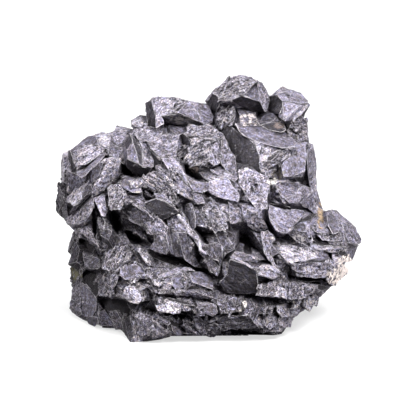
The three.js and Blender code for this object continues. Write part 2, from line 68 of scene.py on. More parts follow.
# How each stretch of the face grew: right, up and radius; the way its striations run, in degrees from
# the right; how rough it is; how dark it is made, partly by tarnishing and partly as painted shade where
# the stretch lies in shade; and how pale, partly its frosting and partly a painted highlight; from 0 to 1.
GROWTH_ZONES = (
    (-9, 77, 9, 80, 0.35, 0.0, 0.6),
    (7, 84.5, 7, 55, 0.55, 0.0, 0.72),
    (15.5, 83, 3.5, 60, 0.15, 0.0, 0.7),
    (19, 82, 3, 70, 0.5, 0.0, 0.6),
    (28, 79, 7, 48, 0.3, 0.0, 0.6),
    (30, 70, 4, 10, 0.8, 0.0, 0.5),
    (19, 74, 6, -10, 0.4, 0.3, 0.4),
    (-23, 72, 5, 60, 0.6, 0.0, 0.6),
    (-39, 62, 10, 42, 0.6, 0.0, 0.85),
    (-42, 47, 9, 43, 0.6, 0.0, 0.95),
    (-49, 52, 4, 80, 0.6, 0.8, 0.35),
    (-50, 44, 4, 80, 0.6, 0.8, 0.35),
    (-29, 3, 4, 10, 0.5, 0.85, 0.3),
    (-31, 52, 6, 50, 0.8, 0.0, 0.6),
    (-24, 63, 6, 75, 0.2, 0.3, 0.4),
    (-14, 66, 6, 30, 0.3, 0.0, 0.6),
    (-13, 54, 7, -50, 0.9, 0.0, 0.5),
    (-15, 44, 5, -20, 0.05, 0.8, 0.2),
    (0, 63, 8, 45, 0.9, 0.0, 0.55),
    (5, 52, 7, -40, 0.5, 0.0, 0.65),
    (15, 51, 6, 75, 0.4, 0.0, 0.6),
    (17, 69, 10, -18, 0.2, 0.0, 0.45),
    (12, 62, 4, 75, 0.4, 0.8, 0.2),
    (25, 60, 8, 27, 0.2, 0.0, 0.6),
    (34, 58, 5, 86, 0.5, 0.0, 0.75),
    (25, 41, 6, -25, 0.15, 0.0, 0.75),
    (27, 50, 6, -20, 0.4, 0.0, 0.7),
    (43, 38, 7, -50, 0.25, 0.0, 0.5),
    (38, 30, 7, -12, 0.5, 0.0, 0.8),
    (28, 30, 5, -20, 0.8, 0.0, 0.9),
    (-8, 37, 9, -62, 0.5, 0.15, 0.35),
    (-22, 40, 8, -35, 0.8, 0.25, 0.4),
    (5, 35, 6, -70, 0.4, 0.4, 0.35),
    (-30, 37, 6, -60, 0.8, 0.5, 0.4),
    (-28, 27, 7, 60, 0.8, 0.1, 0.5),
    (-40, 28, 7, 20, 0.7, 0.65, 0.4),
    (-40, 12, 9, 40, 0.45, 0.5, 0.5),
    (-30, 11, 5, 15, 0.6, 0.8, 0.3),
    (-26, 18, 5, -30, 0.9, 0.0, 0.8),
    (-6, 20, 9, -15, 0.6, 0.1, 0.4),
    (11, 22, 6, -60, 0.3, 0.5, 0.3),
    (20, 25, 5, -65, 0.4, 0.2, 0.5),
    (24, 18, 8, 86, 0.9, 0.0, 0.75),
    (-10, 11, 9, 80, 0.9, 0.0, 0.6),
    (10, 11, 9, 80, 0.8, 0.1, 0.5),
    (-18, 5, 7, 70, 0.8, 0.0, 0.95),
    (5, 5, 9, -10, 0.7, 0.2, 0.55),
    (27, 9, 6, -50, 1.0, 0.0, 1.0),
)
# The last four for what faces back, and how far each facet strays from them.
BACK_GROWTH = (24, 0.6, 0.1, 0.5)
BACK_SPREAD = (35, 0.3, 0.1, 0.2)
BACK_SEED = 83
FACES_BACK = -0.25

WELD = 1e-7
FLAT_ANGLE = math.radians(0.6)
CLUSTER_EDGES = (1.0 * MM, 2.2 * MM)
REFINING_PASSES = 9


def crystal_facets():
    """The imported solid, welded, with each of its flat facets numbered."""
    facets = bmesh.new()
    facets.from_mesh(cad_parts["galena"].data)
    bmesh.ops.remove_doubles(facets, verts=facets.verts, dist=WELD)
    bmesh.ops.dissolve_limit(facets, angle_limit=FLAT_ANGLE, verts=facets.verts, edges=facets.edges)
    number_facets(facets)
    return facets


def number_facets(facets):
    number = facets.faces.layers.int.new("facet")
    for index, face in enumerate(facets.faces):
        face[number] = index


def longest_edge(edge, in_front, behind):
    shows = max(face.normal.dot(FRONT) for face in edge.link_faces) > 0
    return in_front if shows else behind


def cut_finer(facets, in_front, behind):
    """Cuts every facet into small even triangles, smaller in front than behind."""
    number = facets.faces.layers.int["facet"]
    bmesh.ops.triangulate(facets, faces=facets.faces)
    for _ in range(REFINING_PASSES):
        long_edges = [edge for edge in facets.edges
                      if edge.calc_length() > longest_edge(edge, in_front, behind)]
        if not long_edges:
            break
        bmesh.ops.subdivide_edges(facets, edges=long_edges, cuts=1)
        bmesh.ops.triangulate(facets, faces=[face for face in facets.faces if len(face.verts) > 3])
        inner = [edge for edge in facets.edges if len(edge.link_faces) == 2
                 and edge.link_faces[0][number] == edge.link_faces[1][number]]
        bmesh.ops.beautify_fill(facets, faces=facets.faces, edges=inner)


NO_LENGTH = 1e-9
NO_AREA = 1e-14


def unit(vectors):
    return vectors / np.maximum(np.linalg.norm(vectors, axis=1, keepdims=True), NO_LENGTH)


def growth_by_zone(facet_middles, facet_normals):
    """For each facet: its striations' run, its roughness, its tarnishing and painted shade, and how pale it
    is.
    """
    places = seen_from_front(facet_middles)
    zones = np.array(GROWTH_ZONES, float)
    away = np.linalg.norm(places[:, None, :2] - zones[None, :, :2], axis=2) / zones[None, :, 2]
    growth = zones[away.argmin(axis=1), 3:]
    behind = facet_normals @ np.array(FRONT) < FACES_BACK
    strays = np.random.default_rng(BACK_SEED).uniform(-1, 1, (len(growth), 4))
    growth[behind] = (BACK_GROWTH + strays * BACK_SPREAD)[behind]
    return growth


# Odd numbers that stir the bits of a cell's place and of the seed, and how far the result is shifted
# and multiplied in turn.
PLACE_STIRRERS = np.array((0x9E3779B1, 0x85EBCA77, 0xC2B2AE3D), np.uint32)
SEED_STIRRER = 0x27D4EB2F
STIRS = ((15, 0x2C1B3C6D), (12, 0x297A2D39), (15, 1))
CHANCES = 2.0**32


def random_shares(cells, seed):
    """Repeatable random numbers from 0 to 1 for whole-number cells."""
    stirred = np.bitwise_xor.reduce(cells * PLACE_STIRRERS, axis=1) ^ np.uint32(seed * SEED_STIRRER % CHANCES)
    for shift, stirrer in STIRS:
        stirred = (stirred ^ stirred >> np.uint32(shift)) * np.uint32(stirrer)
    return stirred / CHANCES


def random_offsets(cells, seed):
    return np.stack([random_shares(cells, seed + axis) for axis in range(3)], axis=1)


def whole(cells):
    return np.floor(cells).astype(np.int64).astype(np.uint32)


STEP_TILT = 1.6
TILT_SEED = 3
HEIGHT_SEED = 7


def cleavage_steps(places, seed):
    """Blocks bounded by flat splits: a height and a tilt that change from block to block, from -1 to 1."""
    nearest = np.full(len(places), np.inf)
    height = np.zeros(len(places))
    for step in np.ndindex(3, 3, 3):
        corner = np.floor(places) + np.array(step) - 1
        cell = whole(corner)
        offset = places - (corner + random_offsets(cell, seed))
        away = np.abs(offset).max(axis=1)
        tilt = random_offsets(cell, seed + TILT_SEED) - 0.5
        here = 2 * random_shares(cell, seed + HEIGHT_SEED) - 1 + STEP_TILT * (offset * tilt).sum(axis=1)
        height = np.where(away < nearest, here, height)
        nearest = np.minimum(away, nearest)
    return height


def points_of(mesh):
    points = np.empty(len(mesh.vertices) * 3)
    mesh.vertices.foreach_get("co", points)
    return points.reshape(-1, 3)


def move_points(mesh, points):
    """Puts the vertices of a mesh at the points, none of them under the floor."""
    points[:, 2] = np.maximum(points[:, 2], 0)
    mesh.vertices.foreach_set("co", points.ravel())
    mesh.update()


def keep_on_faces(mesh, label, values):
    """Keeps a number or a direction for each face of a mesh."""
    kind, field = ("FLOAT", "value") if values.ndim == 1 else ("FLOAT_VECTOR", "vector")
    mesh.attributes.new(label, kind, "FACE").data.foreach_set(field, values.ravel())


def add_object(name, data):
    made = bpy.data.objects.new(name, data)
    bpy.context.scene.collection.objects.link(made)
    return made


def sum_by_facet(facet, values):
    return np.stack([np.bincount(facet, column) for column in values.T], axis=1)


# Two sizes of cleavage block: how long along the striations, how wide across them, how deep, and the
# height of a step on the roughest faces, in millimetres, and a seed.
COARSE_STEPS = ((5.5, 1.9, 2.6), 0.34, 31)
FINE_STEPS = ((2.2, 0.95, 1.3), 0.17, 57)
LEAST_STEP = 0.12
FLAT_FOOT = 2.5 * MM
TONE_SPREAD = 0.12
TONE_SEED = 5

# How much the small crystals crowd a facet: none where it is smooth, some at the sides, and more where
# it faces far back, inside an oval of the back.
SMOOTH_FACE = 0.3
FACES_FAR_BACK = -0.6
GROWS_BEHIND = 0.3
GROWS_FAR_BEHIND = 0.8
BACK_MIDDLE = (-2, 34)
BACK_HALF = (33, 24)
FACES_DOWN = -0.95


def crowding(facet_middle, facet_normal, rough):
    faces_front = facet_normal @ np.array(FRONT)
    share = np.where(faces_front < FACES_BACK, GROWS_BEHIND, np.clip(faces_front * 2, 0, 1))
    from_middle = np.linalg.norm((seen_from_front(facet_middle)[:, :2] - BACK_MIDDLE) / BACK_HALF, axis=1)
    share[(faces_front < FACES_FAR_BACK) & (from_middle < 1)] = GROWS_FAR_BEHIND
    upright = facet_normal[:, 2] > FACES_DOWN
    return np.clip((rough - SMOOTH_FACE) / (1 - SMOOTH_FACE), 0, 1) * share * upright


def weathered(facets, name, growth_of, material):
    """Moves a surface in and out by its cleavage steps, and keeps what each face needs for its finish."""
    mesh = bpy.data.meshes.new(name)
    facets.to_mesh(mesh)
    # Drops the faces that the cutting left doubled.
    mesh.validate()
    points = points_of(mesh)
    corners = np.empty(len(mesh.polygons) * 3, int)
    mesh.loops.foreach_get("vertex_index", corners)
    corners = corners.reshape(-1, 3)
    facet = np.empty(len(mesh.polygons), int)
    mesh.attributes["facet"].data.foreach_get("value", facet)
    side = points[corners[:, 1:]] - points[corners[:, :1]]
    cross = np.cross(side[:, 0], side[:, 1])
    area = np.maximum(np.linalg.norm(cross, axis=1), NO_AREA)
    middle = points[corners].mean(axis=1)
    facet_middle = sum_by_facet(facet, area[:, None] * middle)
    facet_middle /= np.maximum(np.bincount(facet, area), NO_AREA)[:, None]
    facet_normal = unit(sum_by_facet(facet, cross))
    run, rough, tarnish_and_shade, pale = growth_of(facet_middle, facet_normal).T
    run = np.radians(run)
    along = np.cos(run)[:, None] * np.array(RIGHT) + np.sin(run)[:, None] * np.array(UP)
    across = unit(np.cross(facet_normal, along))
    grain = np.cross(across, facet_normal)

    vertex_normal = np.zeros_like(points)
    vertex_rough = np.zeros(len(points))
    vertex_run = np.zeros(len(points))
    weight = np.zeros(len(points))
    for corner in corners.T:
        np.add.at(vertex_normal, corner, cross)
        np.add.at(vertex_rough, corner, rough[facet] * area)
        np.add.at(weight, corner, area)
        vertex_run[corner] = run[facet]
    places = seen_from_front(points)
    drawn_out = np.cos(vertex_run) * places[:, 0] + np.sin(vertex_run) * places[:, 1]
    narrow = -np.sin(vertex_run) * places[:, 0] + np.cos(vertex_run) * places[:, 1]
    grown = np.stack([drawn_out, narrow, places[:, 2]], axis=1)
    height = np.zeros(len(points))
    for size, step, seed in (COARSE_STEPS, FINE_STEPS):
        height += step * cleavage_steps(grown / np.array(size), seed)
    height *= LEAST_STEP + (1 - LEAST_STEP) * vertex_rough / weight
    height *= np.clip(points[:, 2] / FLAT_FOOT, 0, 1)
    move_points(mesh, points + unit(vertex_normal) * (height * MM)[:, None])

    tone = pale + np.random.default_rng(TONE_SEED).uniform(-TONE_SPREAD, TONE_SPREAD, len(pale))
    kept = {"rough": rough, "tarnish_and_shade": tarnish_and_shade, "tone": tone,
            "growth": crowding(facet_middle, facet_normal, rough), "grain": grain, "across": across}
    for label, values in kept.items():
        keep_on_faces(mesh, label, values[facet])
    mesh.materials.append(material)
    return add_object(name, mesh)


class Nodes:
    """A node tree, and the few kinds of node that the finishes here are made of."""

    def __init__(self, tree):
        self.tree = tree
        tree.nodes.clear()

    def add(self, kind, inputs=(), out=0, **settings):
        """A node with its settings made and each input set or joined. Gives one output, or the node."""
        made = self.tree.nodes.new(kind)
        for name, value in settings.items():
            setattr(made, name, value)
        for socket, value in dict(inputs).items():
            if isinstance(value, bpy.types.NodeSocket):
                self.tree.links.new(value, made.inputs[socket])
            else:
                made.inputs[socket].default_value = value
        return made if out is None else made.outputs[out]

    def math(self, operation, first, second=0.0):
        return self.add("ShaderNodeMath", {0: first, 1: second}, operation=operation)

    def sum(self, value, factor=1.0, more=0.0):
        """The value times the factor, and more added."""
        return self.add("ShaderNodeMath", {0: value, 1: factor, 2: more}, operation="MULTIPLY_ADD")

    def fade(self, value, start, end, low=0.0, high=1.0):
        """Low at the value's start, high at its end, and even in between."""
        return self.add("ShaderNodeMapRange", {"Value": value, "From Min": start, "From Max": end,
                                               "To Min": low, "To Max": high})

    def mix(self, factor, first, second, blend="MIX"):
        return self.add("ShaderNodeMix", {0: factor, 6: first, 7: second}, out=2, data_type="RGBA",
                        blend_type=blend)

    def noise(self, place, scale, detail, roughness=0.5):
        return self.add("ShaderNodeTexNoise", {"Vector": place, "Scale": scale, "Detail": detail,
                                               "Roughness": roughness}, out="Fac")

    def read(self, label, out="Fac"):
        return self.add("ShaderNodeAttribute", attribute_name=label, out=out)

    def dot(self, first, second):
        return self.add("ShaderNodeVectorMath", {0: first, 1: second}, out="Value", operation="DOT_PRODUCT")

    def scaled(self, vector, factor):
        return self.add("ShaderNodeVectorMath", {0: vector, "Scale": factor}, operation="SCALE")

    def place_in_mm(self):
        return self.scaled(self.add("ShaderNodeTexCoord", out="Object"), 1 / MM)


def new_material(name):
    material = bpy.data.materials.new(name)
    material.use_nodes = True
    return material, Nodes(material.node_tree)


def colour(red, green, blue):
    return (red, green, blue, 1.0)


# Faces turned this way, down and to the left, away from the key light, are darkened as painted shade.
PAINTED_SHADE_SIDE = (-0.68, -0.19, -0.71)


def galena_finish(name):
    """Lead-grey sulphide: half-metallic, frosted and striated, darkened partly by tarnishing and partly as
    painted shade, on shaded stretches, on faces turned away from the lights and deep in the hollows, with
    painted highlights on its edges and in sparse glints.
    """
    material, nodes = new_material(name)
    in_mm = nodes.place_in_mm()
    tarnish_and_shade = nodes.read("tarnish_and_shade")
    rough = nodes.read("rough")
    tone = nodes.read("tone")
    along = nodes.dot(in_mm, nodes.read("grain", out="Vector"))
    across = nodes.dot(in_mm, nodes.read("across", out="Vector"))

    def drawn_out(share, **more):
        """The place for a pattern that is drawn out along the striations."""
        return nodes.add("ShaderNodeCombineXYZ", {"X": across, "Y": nodes.sum(along, share), **more})

    def line(value, level, width, strength):
        """A thin line that wanders where a noise passes one level."""
        off = nodes.math("ABSOLUTE", nodes.sum(value, 1.0, -level))
        return nodes.fade(off, 0.0, width, strength, 0.0)

    streak = nodes.noise(drawn_out(0.16), scale=1.6, detail=3.0, roughness=0.7)
    frost = nodes.noise(in_mm, scale=1.5, detail=5.0, roughness=0.75)
    speckle = nodes.noise(in_mm, scale=2.6, detail=2.0, roughness=0.8)
    patches = nodes.noise(in_mm, scale=0.22, detail=2.0)
    hue = nodes.noise(in_mm, scale=0.9, detail=3.0, roughness=0.7)
    chipped = drawn_out(0.45, Z=nodes.add("ShaderNodeSeparateXYZ", {0: in_mm}, out="Z"))
    pits = nodes.add("ShaderNodeTexVoronoi", {"Vector": chipped, "Scale": 1.15}, out="Color", feature="F1",
                     distance="CHEBYCHEV")
    chip = nodes.add("ShaderNodeSeparateXYZ", {0: pits})
    split = nodes.noise(drawn_out(0.28), scale=0.75, detail=3.0, roughness=0.6)
    splits = nodes.sum(line(split, 0.46, 0.03, -1.0), 0.8, line(split, 0.52, 0.025, 1.0))
    hair = nodes.noise(drawn_out(0.4), scale=1.1, detail=2.0, roughness=0.6)

    fine = nodes.sum(speckle, 1.4, nodes.sum(frost, 1.7, nodes.sum(chip, 0.35, -1.725)))
    fine = nodes.sum(fine, nodes.sum(rough, 1.9, 0.3))
    lines = nodes.sum(nodes.sum(streak, 1.0, -0.5), nodes.sum(rough, 2.0, 0.5))
    lines = nodes.sum(line(hair, 0.5, 0.03, -0.55), nodes.sum(rough, 1.0, 0.1), lines)
    lines = nodes.sum(nodes.sum(splits, 0.22), nodes.sum(rough, 0.85, 0.2), lines)
    broad = nodes.sum(hue, 0.8, nodes.sum(patches, 0.45, -0.625))
    level = nodes.sum(tone, 0.7, nodes.sum(fine, 1.0, nodes.sum(lines, 1.0, nodes.sum(broad, 1.0, -0.05))))
    shade = nodes.add("ShaderNodeValToRGB", {"Fac": level}, out=None)
    shades = shade.color_ramp.elements
    shades[0].color = colour(0.060, 0.056, 0.065)
    shades[1].color = colour(0.90, 0.86, 0.84)
    shades.new(0.25).color = colour(0.165, 0.153, 0.19)
    shades.new(0.5).color = colour(0.345, 0.32, 0.405)
    shades.new(0.75).color = colour(0.61, 0.57, 0.66)
    hued = nodes.mix(nodes.fade(hue, 0.38, 0.62), colour(1.08, 1.0, 0.86), colour(0.94, 0.98, 1.16))
    tinted = nodes.mix(1.0, shade.outputs["Color"], hued, blend="MULTIPLY")

    normal = nodes.add("ShaderNodeNewGeometry", out="True Normal")
    # Painted shade: faces turned down and to the left are darkened, less where the frosting is pale, and the
    # darker of this and the tarnishing sets how dark a face is made.
    under = nodes.fade(nodes.dot(normal, PAINTED_SHADE_SIDE), 0.3, 0.8, high=0.8)
    under = nodes.math("MULTIPLY", under, nodes.fade(tone, 0.65, 0.95, 1.0, 0.35))
    darker = nodes.math("MAXIMUM", tarnish_and_shade, under)
    tarnished_and_shaded = nodes.mix(darker, tinted, nodes.mix(0.1, colour(0.030, 0.027, 0.030), tinted))
    # Painted highlights: a pale rim along the edges, uneven with the speckle, and sparse glints on the rough
    # faces that are not darkened.
    rounded = nodes.add("ShaderNodeBevel", {"Radius": 0.35 * MM}, samples=4)
    edge_highlight_strength = nodes.fade(speckle, 0.4, 0.55, 0.25, 1.0)
    edge = nodes.fade(nodes.dot(normal, rounded), 0.985, 0.90, high=edge_highlight_strength)
    painted_glint = nodes.math("MULTIPLY", nodes.fade(frost, 0.59, 0.65, high=0.9), nodes.sum(rough, 1.1, 0.15))
    painted_glint = nodes.math("MULTIPLY", painted_glint, nodes.sum(darker, -0.8, 1.0))
    highlighted = nodes.mix(nodes.math("MAXIMUM", edge, painted_glint), tarnished_and_shaded, colour(0.80, 0.76, 0.80))
    # Painted shade: the colour darkens deep in the hollows, where the light does not reach.
    hollow_shade = nodes.add("ShaderNodeAmbientOcclusion", {"Distance": 4 * MM}, out="AO", samples=8)
    dark = nodes.mix(nodes.math("POWER", hollow_shade, 1.1), colour(0.016, 0.014, 0.015), highlighted)

    relief = nodes.sum(speckle, 0.7, nodes.sum(splits, 0.25, frost))
    relief = nodes.sum(chip, 0.3, nodes.sum(streak, 0.8, relief))
    bump = nodes.add("ShaderNodeBump", {"Height": relief, "Strength": nodes.sum(rough, 0.5, 0.5),
                                        "Distance": 0.6 * MM, "Normal": rounded})
    surface = nodes.add("ShaderNodeBsdfPrincipled", {"Base Color": dark, "Metallic": 0.85, "Normal": bump,
                                                     "Roughness": nodes.fade(frost, 0.35, 0.7, 0.45, 0.24)})
    nodes.add("ShaderNodeOutputMaterial", {"Surface": surface}, out=None)
    return material


galena = galena_finish("galena")
facets = crystal_facets()
cut_finer(facets, *CLUSTER_EDGES)
cluster = weathered(facets, "galena_cluster", growth_by_zone, galena)
facets.free()
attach(cluster, "root")
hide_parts("galena")

# ---------------------------------------------------------------------------------------------------------
# Crystal faces: the flat faces of the largest crystals, where each ends in a sharp edge over its
# neighbour. They are the same galena, grown on the cluster, and each is a slab rooted in it.
# ---------------------------------------------------------------------------------------------------------

# How a face looks: how rough it is, how dark it is made and how pale its frosting is. The darkest look is
# painted shade, faces blackened where there is only deep shade or a crevice; the dark rough, charcoal and
# polished looks are darkened partly by tarnishing and partly as painted shade; the pale look is partly a
# painted highlight.
FACE_LOOKS = {
    "smooth": (0.15, 0.0, 0.42),
    "silky": (0.25, 0.0, 0.58),
    "frosted": (0.5, 0.0, 0.60),
    "ribbed": (0.95, 0.0, 0.55),
    "pale": (0.6, 0.0, 0.92),
    "sooty": (0.8, 0.45, 0.40),
    "charcoal": (0.35, 0.40, 0.28),
    "polished": (0.15, 0.75, 0.20),
    "black": (0.10, 0.95, 0.0),
}

